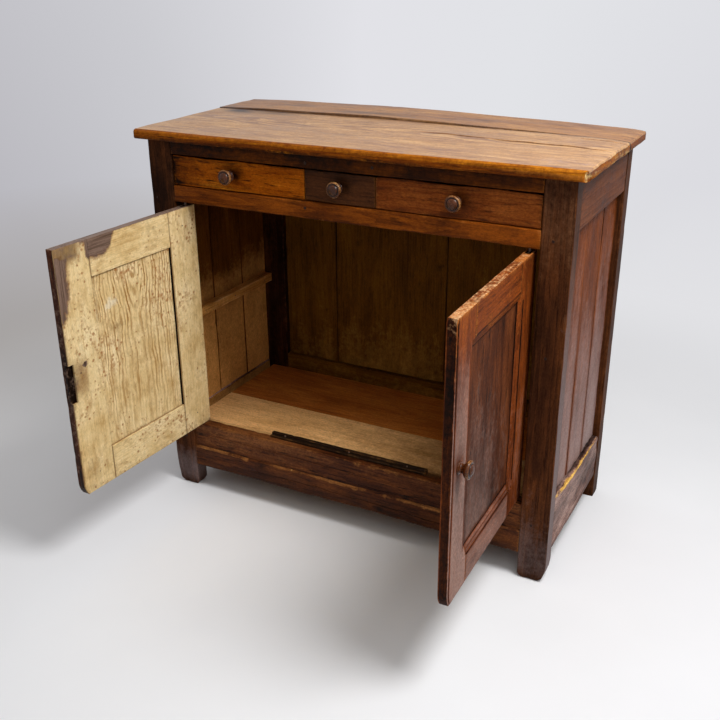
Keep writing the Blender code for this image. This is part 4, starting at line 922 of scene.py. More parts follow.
def makeRails():
    low, high = boxOf("top_rail_front", *betweenPosts)

    def shadeTop(points, marks, sides):
        x, y, z = points.T
        # darker overall, darkest at the upper edge: partly dark stain, partly painted shade under the top's
        # overhang
        marks[:, 1] -= 0.40 + 0.08 * bell(z - high[2], 0.012)
        marks[:, 1] += np.interp(x, *railMake["topPale"])

    made = board(low, high, 0, 41, radius=0.0016, chips=6, bow=0.0004, worn=0.3, shade=shadeTop, cross=0.009)
    buildPiece("topRail", [made], stainedRail, "case", ["top_rail_front"], "rail")
    low, high = boxOf("drawer_rail_front", *betweenPosts)

    def shadeRail(points, marks, sides):
        x, y, z = points.T
        tone = marks[:, 1]
        tone += np.interp(x, *railMake["drawerPale"])
        tone -= 0.30 * spot(points, (-0.115, frontY, high[2]), (0.03, 0.02, 0.008))
        tone -= 0.25 * bell(z - low[2], 0.006)   # dirt under the lower edge

    made = board(low, high, 0, 42, radius=(0.0025, 0.0012, 0.0012, 0.0020), chips=9, chipDeep=0.004,
                 bow=0.0005, worn=(0.30, 0.3, 0.3, 0.45), shade=shadeRail, cross=0.009)
    buildPiece("drawerRail", [made], stainedRail, "case", ["drawer_rail_front"], "rail")
    low, high = boxOf("bottom_rail_front", *betweenPosts)
    ledge = low[2] + railMake["ledge"]

    def uneven(points, made):   # the upper edge dips where it was split off
        x, y, z = points.T
        top = clamped((z - high[2] + 0.012) / 0.012)
        dip = 0.0030 * bell(x + 0.368, 0.010)
        dip += 0.0016 * (1 + np.sin(x * 41.0) * np.sin(x * 17.0 + 1.0)) * 0.5
        made[:, 2] -= dip * top * clamped((low[1] + 0.016 - y) / 0.008)

    def shadeRailLow(points, marks, sides):
        x, y, z = points.T
        tone = marks[:, 1]
        tone += 0.12 * bell(x + 0.30, 0.2)
        tone += 0.10 * bell(z - high[2] + 0.012, 0.012)
        tone -= 0.50 * bell(z - ledge - 0.002, 0.004)   # dirt and painted shade in the crease along the ledge

    battered = {"bow": 0.0006, "cross": 0.009, "step": 0.006}
    upper = board((low[0], low[1] + railMake["railBack"], ledge - 0.012), high, 0, 43,
                  radius=(0.0012, 0.001, 0.001, 0.0030), ragged=0.6, chips=16, chipDeep=0.0055,
                  worn=(0.3, 0.3, 0.5, 0.62), shape=uneven, shade=shadeRailLow, cracks=railMake["railCracks"],
                  **battered)

    def wavy(points, made):   # the skirt's lower edge was cut by eye
        lower = clamped((low[2] + 0.02 - points[:, 2]) / 0.02)
        made[:, 2] += lower * (0.0012 + 0.0012 * np.sin(points[:, 0] * 19.0 + 0.6))

    def shadeSkirt(points, marks, sides):
        wear, tone, bare, coat = marks.T
        x, y, z = points.T
        tone -= 0.17
        for dark, (atX, atZ), (reachX, reachZ) in railMake["knots"]:
            tone -= dark * spot(points, (atX, low[1], atZ), (reachX, 0.02, reachZ))
        tone += 0.10 * bell(z - ledge + 0.01, 0.01)
        for at in railMake["scars"]:
            bare += (z > ledge - 0.004) * 0.60 * bell(x - at, 0.006)

    skirt = board(low, (high[0], high[1] - railMake["skirtThin"], ledge), 0, 44,
                  radius=(0.0020, 0.001, 0.0010, 0.0052), ragged=0.35, chips=13, chipDeep=0.0040,
                  worn=(0.3, 0.3, 0.4, 1.0), shape=wavy, shade=shadeSkirt, cracks=railMake["skirtCracks"],
                  **battered)
    buildPiece("bottomRail", [upper, skirt], scuffedBase, "case", ["bottom_rail_front"], "base")


makeRails()
print("rails made")


# Sides: two rails and three upright boards; the right lower rail has split along its upper edge, showing
# yellow wood.
sideMake = {
    "joints": (0.36, 0.69),
    "gaps": {"left": 0.0006, "right": 0.0013},
    "tones": (0.03, 0.0, 0.06),
    "corners": {"left": (0.0016, 0.0006, 0.0006, 0.0016), "right": (0.0006, 0.0016, 0.0016, 0.0006)},
    # by height: the inside's painted shade above the lost shelf and painted light below it,
    #     # dust and a painted sheen outside, dirt in the joints
    "shelf": ((0.2, 0.45, 0.53, 0.57, 0.70, 0.85), (0.40, 0.34, 0.22, 0.06, -0.18, -0.45)),
    "dustAndSheen": ((0.2, 0.45, 0.65, 0.85), (0.40, 0.26, 0.10, 0.0)),
    "jointDark": ((0.3, 0.6, 0.85), (0.60, 0.45, 0.12)),
    # along Y: drop of the split edge, how yellow it is, and how far that reaches across the ledge
    "split": ((0.005, 0.12, 0.20, 0.335, 0.45), (0.0035, 0.0190, 0.0235, 0.0270, 0.0325)),
    "brightY": (0.005, 0.06, 0.13, 0.19, 0.25, 0.33, 0.45),
    "splitBright": (0.38, 0.62, 0.88, 0.60, 0.78, 0.55, 0.42),
    "splitReach": (0.0025, 0.0050, 0.0120, 0.0050, 0.0080, 0.0040, 0.0030),
}


def makeSides():
    for k, word in enumerate(("left", "right")):
        right = word == "right"
        inFace, outFace = (3, 1) if right else (1, 3)

        def shadeTop(points, marks, sides):
            marks[:, 1] -= 0.10 + 0.16 * bell(points[:, 2] - 0.958, 0.03)

        node = "side_top_rail_" + word
        made = board(*boxOf(node, *frontToRear), 1, 51 + k, radius=0.0018, chips=3, bow=0.0005, worn=0.55,
                     shade=shadeTop)
        buildPiece("sideTopRail" + word, [made], stainedSideRail, "case", [node], "side")
        node = "side_bottom_rail_" + word
        low, high = boxOf(node, *frontToRear)
        outer = high[0] if right else low[0]

        def split(points, made):
            x, y, z = points.T
            drop = np.interp(y, *sideMake["split"])
            ragged = 0.0012 * np.sin(y * 90.0) + 0.0009 * np.sin(y * 213.0 + 1.0)
            near = clamped((0.025 - np.abs(x - outer)) / 0.007)
            top = clamped((z - high[2] + 0.05) / 0.05)
            made[:, 2] -= (drop + ragged) * top * near

        def shadeLow(points, marks, sides):
            wear, tone, bare, coat = marks.T
            x, y, z = points.T
            # the inside face paler: painted light low down inside
            tone += np.where(sides == inFace, 0.30, 0.20 * bell(z - 0.16, 0.06))
            tone -= 0.22 * bell(z - 0.07, 0.025)   # damp low down
            if right:
                bright = np.interp(y, sideMake["brightY"], sideMake["splitBright"])
                shown = bell(np.abs(x - outer), np.interp(y, sideMake["brightY"], sideMake["splitReach"]))
                bare += (sides == 6) * bright   # the split edge
                bare += (sides == 2) * bright * shown
                # painted shade on the ledge behind the split
                tone -= (sides == 2) * 0.55 * (1 - shown)

        made = board(low, high, 1, 53 + k, radius=(0.0016, 0.0016, 0.0030, 0.0030), ragged=0.7, chips=9,
                     bow=0.0012, worn=0.4, shape=split if right else None, shade=shadeLow, cross=0.009,
                     step=0.006)
        buildPiece("sideBottomRail" + word, [made], weatheredRail, "case", [node], "side",
                   inside=(wallWithPaintedLightAndShade, {inFace}))
        node = "side_panel_" + word
        low, high = boxOf(node)
        low[2] -= 0.03   # runs down behind the split rail
        edges = jointsOf(low[1], high[1], sideMake["joints"])
        gap = sideMake["gaps"][word]
        boards = []
        for n, tint in enumerate(sideMake["tones"]):
            start, end = edges[n:n + 2]

            def shadeBoard(points, marks, sides):
                tone = marks[:, 1]
                x, y, z = points.T
                # inside: painted shade above the lost shelf, painted light below it; outside: dust and a
                # painted sheen
                tone += (sides == inFace) * np.interp(z, *sideMake["shelf"])
                tone += (sides == outFace) * np.interp(z, *sideMake["dustAndSheen"])
                joint = bell(np.minimum(y - start, end - y), 0.005)
                tone -= (sides == outFace) * np.interp(z, *sideMake["jointDark"]) * joint
                tone += tint
                tone[(sides == 0) | (sides == 2) | (sides > 3)] = 0.14   # black joints

            def opened(points, made):   # the joints open downwards
                shut = (gap - 0.0002) * np.interp(points[:, 2], (0.50, 0.75), (0, 1))
                made[:, 1] += shut * np.sign(points[:, 1] - (start + end) / 2)

            boards.append(board((low[0], start + gap, low[2]), (high[0], end - gap, high[2]), 2,
                                61 + 3 * k + n, radius=sideMake["corners"][word], chips=3, bow=0.0009,
                                worn=0.1, shade=shadeBoard, shape=opened))
        boards += tongues(low, high, edges[1:-1], 1, 0.005)
        buildPiece("sidePanel" + word, boards, sideWood, "case", [node], "side",
                   inside=(wallWithPaintedLightAndShade, {inFace}))


makeSides()
print("sides made")


# Inside: back boards and rails, shelf cleats, floor, door stop, deck and partitions.
insideMake = {
    "railCracks": {"top": (), "bottom": ((3, 0.10, 0.02, 0.30, 0.0010, 0.005, 0.0016, 0.004, 0.0),)},
    "backJoints": (0.20, 0.59, 0.96),
    "backTones": (-0.05, 0.0, 0.03, -0.03),
    "backGap": 0.0005,
    "backPale": ((0.25, 0.45), (0.22, 0.0)),      # by height: painted light, paler low down
    "floorDark": ((-0.4, 0.3), (0.02, 0.34)),     # along X: painted shade, darker towards the right
    "knots": ((-0.19, 0.62, 0.011), (0.06, 0.585, 0.008), (-0.30, 0.40, 0.007), (0.22, 0.44, 0.010)),
    "lap": 0.002,               # how far the narrow lip of a board runs into its wide part
    "stopStep": (0.45, 0.56),   # depth and height of the step in the door stop, as shares
}


def makeInside():
    lap = insideMake["lap"]
    for k, (word, cracks) in enumerate(insideMake["railCracks"].items()):
        node = "back_" + word + "_rail"
        low, high = boxOf(node, *betweenRears)

        def shadeRail(points, marks, sides):
            marks[:, 1] += 0.10 - 0.35 * bell(points[:, 2] - high[2], 0.004)

        made = board(low, high, 0, 71 + k, radius=0.0018, chips=4, bow=0.0006, worn=0.4, cracks=cracks,
                     shade=shadeRail)
        buildPiece("back" + word + "Rail", [made], smokedBack, "case", [node], "inside")
    low, high = boxOf("back_panel")
    edges = jointsOf(low[0], high[0], insideMake["backJoints"])
    gap = insideMake["backGap"]
    boards = []
    for n, tint in enumerate(insideMake["backTones"]):
        start, end = edges[n:n + 2]

        def shadeBack(points, marks, sides):
            tone = marks[:, 1]
            x, y, z = points.T
            # tint of each board, and painted light: paler low down
            tone += tint + np.interp(z, *insideMake["backPale"])
            tone -= 0.45 * bell(np.minimum(x - start, end - x), 0.003)
            for atX, atZ, size in insideMake["knots"]:
                tone -= 0.4 * spot(points, (atX, low[1], atZ), (size, 0.1, size * 1.4))

        boards.append(board((start + gap, low[1], low[2]), (end - gap, high[1], high[2]), 2, 74 + n,
                            radius=0.0013, bow=0.0006, worn=0.2, shade=shadeBack))
    boards += tongues(low, high, edges[1:-1], 0, 0.004)
    buildPiece("backPanel", boards, smokedBack, "case", ["back_panel"], "inside")
    for k, word in enumerate(("left", "right")):
        node = "shelf_cleat_" + word
        made = board(*boxOf(node), 1, 81 + k, radius=0.0020, chips=6, bow=0.0006, worn=0.9)
        buildPiece("shelfCleat" + word, [made], bareInside, "case", [node], "inside")
    plank, thin = {"radius": 0.0012, "bow": 0.0006, "worn": 0.4}, {"radius": 0.0008, "bow": 0.0002}
    low, high = boxOf("floor_board_front", *behindPosts)

    def shadePale(points, marks, sides):
        x, y, z = points.T
        marks[:, 1] -= 0.30 * bell(y - low[1], 0.022)
        # painted shade: darker towards the right
        marks[:, 1] -= np.interp(x, *insideMake["floorDark"])

    made = board((low[0], postBack + fit, low[2]), high, 0, 83, shade=shadePale, **plank)
    start, end = boxOf("floor_board_front", *betweenPosts)
    lip = board(start, (end[0], postBack + lap, end[2]), 0, 84, worn=0.3, shade=shadePale, **thin)
    buildPiece("floorFront", [made, lip], palePlank, "case", ["floor_board_front"], "floor_pale")
    low, high = boxOf("floor_board_back", *behindPosts)
    made = board(low, (high[0], rearFront - fit, high[2]), 0, 85, **plank)
    start, end = boxOf("floor_board_back", *betweenRears)
    lip = board((start[0], rearFront - lap, start[2]), end, 0, 86, worn=0.3, **thin)
    buildPiece("floorBack", [made, lip], redFloor, "case", ["floor_board_back"], "floor_red")
    low, high = boxOf("door_stop")
    deep, tall = insideMake["stopStep"] * (high - low)[1:]
    battered = {"radius": 0.0014, "chips": 10, "bow": 0.0003, "worn": 0.6, "cross": 0.006}
    step = board(low, (high[0], high[1], low[2] + tall), 0, 87, **battered)
    block = board((low[0], low[1] + deep, low[2]), high, 0, 88, **battered)
    buildPiece("doorStop", [step, block], blackStrip, "case", ["door_stop"], "stop")
    low, high = boxOf("drawer_deck", *behindPosts)
    made = board((low[0], postBack + fit, low[2]), (high[0], rearFront - fit, high[2]), 0, 89, radius=0.001,
                 bow=0.0004)
    start, end = boxOf("drawer_deck", *betweenPosts)
    lip = board(start, (end[0], postBack + lap, end[2]), 0, 90, **thin)
    buildPiece("drawerDeck", [made, lip], bareInside, "case", ["drawer_deck"], "inside")
    railLow, railHigh = boxOf("top_rail_front")
    for k, word in enumerate(("left", "right")):   # notched under the upper rail
        node = "drawer_partition_" + word
        low, high = boxOf(node)
        made = board(low, (high[0], high[1], railLow[2] - fit), 1, 91 + k, radius=0.001, bow=0.0003)
        rest = board((low[0], railHigh[1] + fit, railLow[2] - lap), high, 1, 93 + k, radius=0.001, bow=0.0003)
        buildPiece("drawerPartition" + word, [made, rest], bareInside, "case", [node], "inside")


makeInside()
print("inside made")


# Turned knob, standing out along -Y: domed button, dirty groove, rounded rim and a waisted foot.
knobMake = {
    "radius": 0.0185,
    "height": 0.0290,
    "profile": ((0.0, 1.0), (0.25, 0.985), (0.48, 0.94), (0.63, 0.875), (0.66, 0.82), (0.74, 0.80),
                (0.80, 0.835), (0.93, 0.80), (1.0, 0.70), (0.97, 0.58), (0.80, 0.46), (0.56, 0.36),
                (0.46, 0.24), (0.52, 0.13), (0.70, 0.08), (0.70, 0.0)),
    "segments": 48,
}


def turnedKnobAt(x, faceY, z, seed):
    rng = np.random.default_rng(seed)
    line = np.array(knobMake["profile"])
    for step in range(2):   # corner cutting rounds the profile
        cut = [line[0]]
        for a, b in zip(line[:-1], line[1:]):
            cut += [0.75 * a + 0.25 * b, 0.25 * a + 0.75 * b]
        line = np.array(cut + [line[-1]])
    line[0, 0] = 0.0
    line[1, 0] = max(line[1, 0], 0.02)
    count = knobMake["segments"]
    angle = np.linspace(0, 2 * math.pi, count, endpoint=False)
    lump = 1 + 0.010 * np.sin(2 * angle + rng.uniform(0, 6)) + 0.006 * np.sin(5 * angle + rng.uniform(0, 6))
    points, marks = [], []
    for r, h in line:
        ring = knobMake["radius"] * r * lump
        level = np.full(count, faceY - fit - knobMake["height"] * h)
        points.append(np.stack([x + ring * np.cos(angle), level, z + ring * np.sin(angle)], 1))
        groove = bell(r - 0.69, 0.055) * (h > 0.7)
        foot = 0.3 * max(0.0, 1 - h / 0.4)
        dome = 0.22 if r < 0.6 and h > 0.7 else 0.0
        rim = 0.75 * bell(r - 0.94, 0.10) * (h > 0.6)
        row = np.zeros((count, 4))
        row[:, 0] = rim * clamped(0.8 + 0.5 * np.sin(angle + rng.uniform(0, 6)))
        row[:, 1] = 0.55 - 0.85 * groove - foot - dome
        marks.append(row)
    points, marks = np.concatenate(points), np.concatenate(marks)
    grain = np.stack([points[:, 1] + rng.uniform(3, 40), points[:, 0] - x + 0.02, points[:, 2] - z], 1)
    faces = []
    for i in range(len(line) - 1):
        for j in range(count):
            n = (j + 1) % count
            faces.append((i * count + j, (i + 1) * count + j, (i + 1) * count + n, i * count + n))
    faces.append(tuple((len(line) - 1) * count + j for j in range(count)))
    return points, faces, grain, marks, [0] * len(faces)


# Drawers: fronts from three different boards, thin pine boxes behind them.
drawerMake = {
    "left": {"wood": amberDrawer, "slot": "drawer_light", "shift": -0.020, "seed": 101},
    "centre": {"wood": darkDrawer, "slot": "drawer_dark", "shift": -0.003, "seed": 111},
    "right": {"wood": redDrawer, "slot": "drawer_mid", "shift": 0.002, "seed": 121},
}


def makeDrawers():
    for word, make in drawerMake.items():
        body, seed = "drawer_" + word, make["seed"]
        low, high = boxOf(body + "_front")
        knobX = (low[0] + high[0]) / 2 + make["shift"]
        knobZ = (low[2] + high[2]) / 2

        def shade(points, marks, sides):
            tone = marks[:, 1]
            x, y, z = points.T
            face = sides == 3
            tone -= face * 0.42 * spot(points, (knobX + 0.010, low[1], knobZ + 0.004), (0.032, 1, 0.027))
            # painted shade in the gap under the rail above: the top edge dark, and a band below it
            tone -= np.where(sides == 2, 0.5, 0.22 * bell(z - high[2], 0.006))
            border = np.minimum(np.minimum(x - low[0], high[0] - x), z - low[2])
            tone -= face * 0.20 * bell(border, 0.009)   # dirt along the edges
            if word == "left":
                tone -= 0.45 * spot(points, (low[0] + 0.010, low[1], low[2] + 0.004), (0.010, 1, 0.007))
                tone -= 0.35 * spot(points, (high[0] - 0.012, low[1], low[2]), (0.030, 1, 0.008))
                # painted shade: darker towards the left
                tone += face * np.interp(x, (low[0], knobX, high[0]), (-0.32, -0.10, 0.12))

        def shrunk(points, made):   # an uneven open gap under the rail above
            x, y, z = points.T
            up = clamped((z - high[2] + 0.03) / 0.03)
            made[:, 2] -= up * (0.0022 + 0.0010 * np.sin(x * 31.0) + 0.0004 * np.sin(x * 97.0))
            made[:, 1] += 0.0012 * clamped((high[1] - y) / (high[1] - low[1]))

        front = board(low, high, 0, seed, radius=0.0020, ragged=0.4, chips=5, bow=0.0005, worn=0.35,
                      shade=shade, shape=shrunk, cross=0.008)
        buildPiece(body + "Front", [front], make["wood"], body, [body + "_front"], make["slot"])
        knob = turnedKnobAt(knobX, low[1], knobZ, seed + 9)
        for n, part in enumerate(("side_left", "side_right", "back", "bottom")):
            start, end = boxOf(body + "_" + part)
            axis = 1 if part.startswith("side") else 0
            start[2] += 0.0010 * axis   # worn runners, clear of the uneven rail
            made = board(start, end, axis, seed + 1 + n, radius=0.0010, bow=0.0002, worn=0.6, chips=2,
                         chipDeep=0.0015)
            buildPiece(body + part, [made], boxPine, body, [body + "_" + part], "pine")
        buildPiece(body + "Knob", [knob], turnedKnob, body, [body + "_knob"], "knob", merge=True)


makeDrawers()
print("drawers made")


# Doors, drawn closed and turned open about their pins. The outside is stained, the inside painted.
doorMake = {
    "pinX": 0.4427, "hingeX": 0.4632, "wide": 0.4622, "thick": 0.0205, "low": 0.2007, "up": 0.8006,
    "stile": 0.0985, "rail": 0.0865, "panelSet": 0.0080, "panel": 0.0075, "tongue": 0.0085,
    "mould": 0.0210,
    # shares across the moulding, and how deep it is cut there
    "moulding": ((0.0, 0.06, 0.24, 0.52, 0.82, 0.985, 1.0),
                 (0.0070, 0.0066, 0.0050, 0.0032, 0.0020, 0.0014, 0.0)),
    "mouldRows": (0.0, 0.03, 0.06, 0.12, 0.18, 0.24, 0.31, 0.38, 0.45, 0.52, 0.6, 0.67, 0.74, 0.82, 0.9,
                  0.985, 1.0, 1.03),
    "bead": 0.0072, "beadHalf": 0.0022, "beadDeep": 0.0022,
    "beadRows": (-1.05, -1.0, -0.7, -0.35, 0.0, 0.35, 0.7, 1.0, 1.05),
    "lockLow": 0.4390, "lockUp": 0.5330, "lockWide": 0.015, "lockDeep": 0.0085,
    "tenonTall": 0.046, "tenonThick": 0.0068, "tenonProud": 0.0004,
    "knobIn": 0.0365, "knobZ": 0.497,
    "pinIn": 0.0205,
    "open": {"left": -93.0, "right": 91.0},
    # bounds of the bare patch at the top of the left door, and of the bare strip down its free edge
    "barePatch": ((0.262, 0.272, 0.301, 0.346, 0.360), (0.803, 0.772, 0.751, 0.756, 0.803)),
    "bareStrip": ((0.625, 0.640, 0.683, 0.7665, 0.785), (0.4417, 0.428, 0.414, 0.406, 0.4417)),
    # spots inside the left door: how dark, or how pale where negative, place along and up, reach along and up
    "soiled": ((0.22, 0.1434, 0.7782, 0.022, 0.016), (0.20, 0.4053, 0.2533, 0.03, 0.03)),
    "panelSoiled": ((-0.45, 0.2875, 0.6353, 0.022, 0.015), (0.30, 0.2800, 0.5750, 0.020, 0.011)),
    "grooveWide": 0.0030, "grooveDeep": 0.0050,
    "keyAlong": 0.3929, "keyZ": 0.5244, "keyRound": 0.0027, "keySlot": (0.0011, 0.0075), "keyDeep": 0.012,
    "bleachAndLightZ": (0.2, 0.5, 0.68, 0.80),                  # the right door's outside is paler low down: dust and a painted sheen
    "bleachAndLight": {"lock": (0.36, 0.42, 0.20, -0.10), "hinge": (0.12, 0.05, 0.0, 0.0),
               "rail": (0.32, 0.0, 0.0, 0.0), "panel": (0.25, 0.13, 0.0, -0.04)},
    # by height: wear of the right door's outside and bare wood in its free edge, most tone of the mouldings
    "outsideRubbed": ((0.6, 0.72, 0.8), (0.0, 0.30, 0.30)),
    "edgeBare": ((0.70, 0.80), (0.10, 0.50)),
    "mouldMost": ((0.28, 0.60), (0.72, 0.55)),
    "topBare": ((0.0, 0.2, 0.44), (0.45, 0.50, 0.60)),  # bare wood along the right door's upper edge
    "arris": 0.0006,                                    # points this near to an edge lie on it
    "hair": 0.0001,                                     # between the two rows of points at a sharp step
    "seam": 0.0016,                                     # half of the dark line at a joint
    "stepAt": (0.0015, 0.0019, 0.004),                  # rows of points beside the seams of the rails
    "panelRows": (0.0006, 0.002, 0.004),
}


def cutKeyhole(thing, turn):   # a blind hole with a slot below it, through the paint
    d = doorMake
    work = bmesh.new()
    back = frontY + d["thick"]
    bend = np.radians(np.arange(-60, 241, 15))
    outline = [(d["keyRound"] * math.cos(a), d["keyRound"] * math.sin(a)) for a in bend]
    half, drop = d["keySlot"]
    outline += [(-half, -drop), (half, -drop)]
    rings = []
    for y in (back - d["keyDeep"], back + 0.004):
        rings.append([work.verts.new((-d["pinX"] + d["keyAlong"] + x, y, d["keyZ"] + z)) for x, z in outline])
    for k in range(len(outline)):
        n = (k + 1) % len(outline)
        work.faces.new((rings[0][k], rings[0][n], rings[1][n], rings[1][k]))
    work.faces.new(rings[0][::-1])
    work.faces.new(rings[1])
    bmesh.ops.recalc_face_normals(work, faces=work.faces)
    mesh = bpy.data.meshes.new("keyholeCutter")
    work.to_mesh(mesh)
    work.free()
    mesh.transform(turn)
    cutter = newObject("keyholeCutter", mesh)
    step = thing.modifiers.new("keyhole", "BOOLEAN")
    step.operation = "DIFFERENCE"
    step.solver = "EXACT"
    step.object = cutter
    made = bpy.data.meshes.new_from_object(thing.evaluated_get(bpy.context.evaluated_depsgraph_get()))
    thing.modifiers.clear()
    thing.data = made
    bpy.data.objects.remove(cutter)


def makeDoor(word):
    d = doorMake
    left = word == "left"
    side = -1 if left else 1
    body, slot = "door_" + word, "cream" if left else "door"
    hinge, free = side * d["hingeX"], side * (d["hingeX"] - d["wide"])
    back = frontY + d["thick"]
    pin = Vector((side * d["pinX"], frontY + d["thick"] / 2, 0.0))
    swing = Matrix.Rotation(math.radians(d["open"][word]), 4, "Z")
    turn = Matrix.Translation(pin) @ swing @ Matrix.Translation(-pin)
    openLow, openUp = d["low"] + d["rail"], d["up"] - d["rail"]
    hingeIn, freeIn = hinge - side * d["stile"], free + side * d["stile"]
    seed = 200 if left else 300
    frameWood, panelWood = (creamDoor, grainedDoor) if left else (brownDoor, brownPanel)
    fine = np.array(d["mouldRows"]) * d["mould"]
    edged = {"radius": 0.0012, "ragged": 0.35, "chipDeep": 0.0025, "bow": 0.0002, "worn": 0.40,
             "cross": 0.012}

    def moulded(made, t):   # sinks the outer face where the moulding is, t from its inner edge
        sunk = np.interp(t / d["mould"], *d["moulding"])
        made[:, 1] = np.maximum(made[:, 1], frontY + np.where(t <= d["mould"], sunk, 0.0))

    def mouldTone(t, points, marks):   # dirt and painted shade in the quirks, polish on the round
        wear, tone, bare, coat = marks.T
        on = (points[:, 1] < frontY + 0.0085) & (t < d["mould"] + 0.003)
        share = t / d["mould"]
        quirk = bell(share - 1.0, 0.08) + bell(share, 0.09) + 0.5 * bell(share - 0.52, 0.05)
        most = np.interp(points[:, 2], *d["mouldMost"])   # paler allowed low down, with dust and a painted sheen
        tone[:] = np.where(on, np.minimum(tone, most), tone)
        tone -= on * 0.75 * quirk
        wear[on & (share < 0.2)] = 0.0
        wear += on * 0.12 * bell(share - 0.55, 0.2)

    def inLock(points):
        x, y, z = points.T
        return left & (np.abs(x - free) < d["lockWide"]) & (z > d["lockLow"]) & (z < d["lockUp"])

    def paintLeft(points, marks, along, topEdge, freeEdge):
        wear, tone, bare, coat = marks.T
        x, y, z = points.T
        bound = np.interp(along, *d["barePatch"])
        strip = np.interp(z, *d["bareStrip"])
        gone = np.maximum((z - bound) / 0.030, (along - strip) / 0.030)
        inward = clamped((y - frontY - 0.006) / 0.004)   # the outside is whole
        bare[:] = np.maximum(bare, inward * np.clip(0.5 + gone, 0, 0.95))
        rubbed = inward * clamped((along - 0.35) / 0.03) * clamped((z - 0.745) / 0.03)
        tone -= 0.40 * rubbed   # handled corner
        bare[:] = np.maximum(bare, 0.49 * rubbed)
        for edge, shown, dark in ((freeEdge, 0.45, 0.10), (topEdge, 0.9, 0.28)):
            bare[edge] = shown
            tone[edge] = dark
        rough = inward * clamped((along - 0.380) / 0.012) * np.exp(-((z - 0.495) / 0.058) ** 4)
        bare[:] = np.maximum(bare, 0.44 * rough)
        tone -= 0.22 * rough   # round the lost lock
        for dark, at, atZ, reachX, reachZ in d["soiled"]:
            tone -= dark * inward * spot(points, (-d["pinX"] + at, back, atZ), (reachX, 1, reachZ))
        bare[:] = np.maximum(bare, 0.9 * spot(points, (hinge, back, d["low"]), (0.012, 1, 0.009)))
        tone -= 0.14 * bell(z - d["low"], 0.02)

    def paintRight(points, marks, along, topEdge, freeEdge, bleachAndLight):
        wear, tone, bare, coat = marks.T
        x, y, z = points.T
        outside = y < back - 0.002
        # paler low down: dust and a painted sheen
        tone += outside * np.interp(z, d["bleachAndLightZ"], bleachAndLight)
        wear += outside * np.interp(z, *d["outsideRubbed"])
        handled = spot(points, (free + side * d["knobIn"], frontY, d["knobZ"]), (0.028, 1, 0.034))
        tone -= outside * 0.30 * handled   # dark round the knob
        inEdge = outside & freeEdge & (y > frontY + 0.0012)
        tone[inEdge] = 0.05
        wear[inEdge] = 0.10
        bare[:] = np.where(inEdge, np.interp(z, *d["edgeBare"]), bare)
        bare[:] = np.where(topEdge, np.interp(along, *d["topBare"]), bare)

    def paint(points, marks, sides, backFace, bleachAndLight):
        along = d["pinX"] - side * points[:, 0]
        y, z = points[:, 1:].T
        covered = (sides == backFace) | (left & (sides >= 4) & (y > back - 0.0016))
        topEdge = z > d["up"] - d["arris"]
        freeEdge = along > d["wide"] - d["pinIn"] - 0.0008
        marks[:, 3] = covered & (z < d["up"] - d["arris"]) & (z > d["low"] + d["arris"])
        if left:
            paintLeft(points, marks, along, topEdge, freeEdge)
        else:
            paintRight(points, marks, along, topEdge, freeEdge, d["bleachAndLight"][bleachAndLight])

    # stiles: moulding on the outer inside edge, a bead along the free edge, the lock recess in the left one
    for n, (place, edge, inner) in enumerate((("hinge", hinge, hingeIn), ("lock", free, freeIn))):
        lock = place == "lock"

        def cut(points, made):
            x, y, z = points.T
            beyond = np.maximum(openLow - z, z - openUp)
            moulded(made, np.maximum(np.maximum(np.abs(x - inner), beyond), 0))
            if lock:
                off = np.abs(np.abs(x - edge) - d["bead"]) / d["beadHalf"]
                made[:, 1] = np.maximum(made[:, 1], frontY + d["beadDeep"] * clamped(1 - off ** 2))
                lost = 0.010 * clamped(1 - (z - d["low"]) / 0.028) ** 1.8   # rounded lower corner
                near = clamped(1 - np.abs(x - edge) / 0.030)
                if not left:
                    lost += 0.005 * clamped(1 - (d["up"] - z) / 0.011) ** 1.6
                made[:, 0] += side * lost * near
                made[:, 1] = np.where(inLock(points), np.minimum(made[:, 1], back - d["lockDeep"]),
                                      made[:, 1])

        def shade(points, marks, sides):
            wear, tone, bare, coat = marks.T
            x, y, z = points.T
            paint(points, marks, sides, 2, place)
            atRail = (z > openUp) | (z < openLow)
            beside = np.abs(x - inner)
            mouldTone(np.where(atRail, 1.0, beside), points, marks)
            tone[atRail & (beside < d["seam"])] -= 0.45
            if lock:
                # dirt and painted shade in the bead's quirk
                tone -= (sides == 0) * 0.9 * bell(np.abs(np.abs(x - edge) - d["bead"]), 0.0026)
                recess = inLock(points) & (y > frontY + 0.01)
                coat[recess] = 0.0
                tone[recess] = -0.05
            else:   # black gap beside the shrunk panel: painted shade in the gap
                wall = (beside < 0.0015) & (y > back - 0.012) & ~atRail
                tone[wall] = -0.1
                wear[wall] = 0.0

        def shares(distances, reverse):
            made = np.array(distances) / d["stile"]
            return list(1 - made if reverse else made)

        innerHigh = inner > edge
        outer, deep = shares(fine, innerHigh), []
        if lock:
            outer += shares(d["bead"] + np.array(d["beadRows"]) * d["beadHalf"], not innerHigh)
            deep = shares((d["lockWide"] - d["hair"], d["lockWide"] + d["hair"]), innerHigh)
        stations = [openLow - t for t in fine] + [openUp + t for t in fine]
        for z in (d["lockLow"], d["lockUp"]):
            stations += [z - d["hair"], z + d["hair"]]
        made = board((min(edge, inner), frontY, d["low"]), (max(edge, inner), back, d["up"]), 2, seed + n,
                     chips=5, shape=cut, shade=shade, extra={0: outer, 2: deep}, stations=stations,
                     step=0.008, **edged)
        name = body + "_stile_" + place
        thing = buildPiece(name, [made], frameWood, body, [name], slot, turn, merge=True)
        if left and lock:
            cutKeyhole(thing, turn)

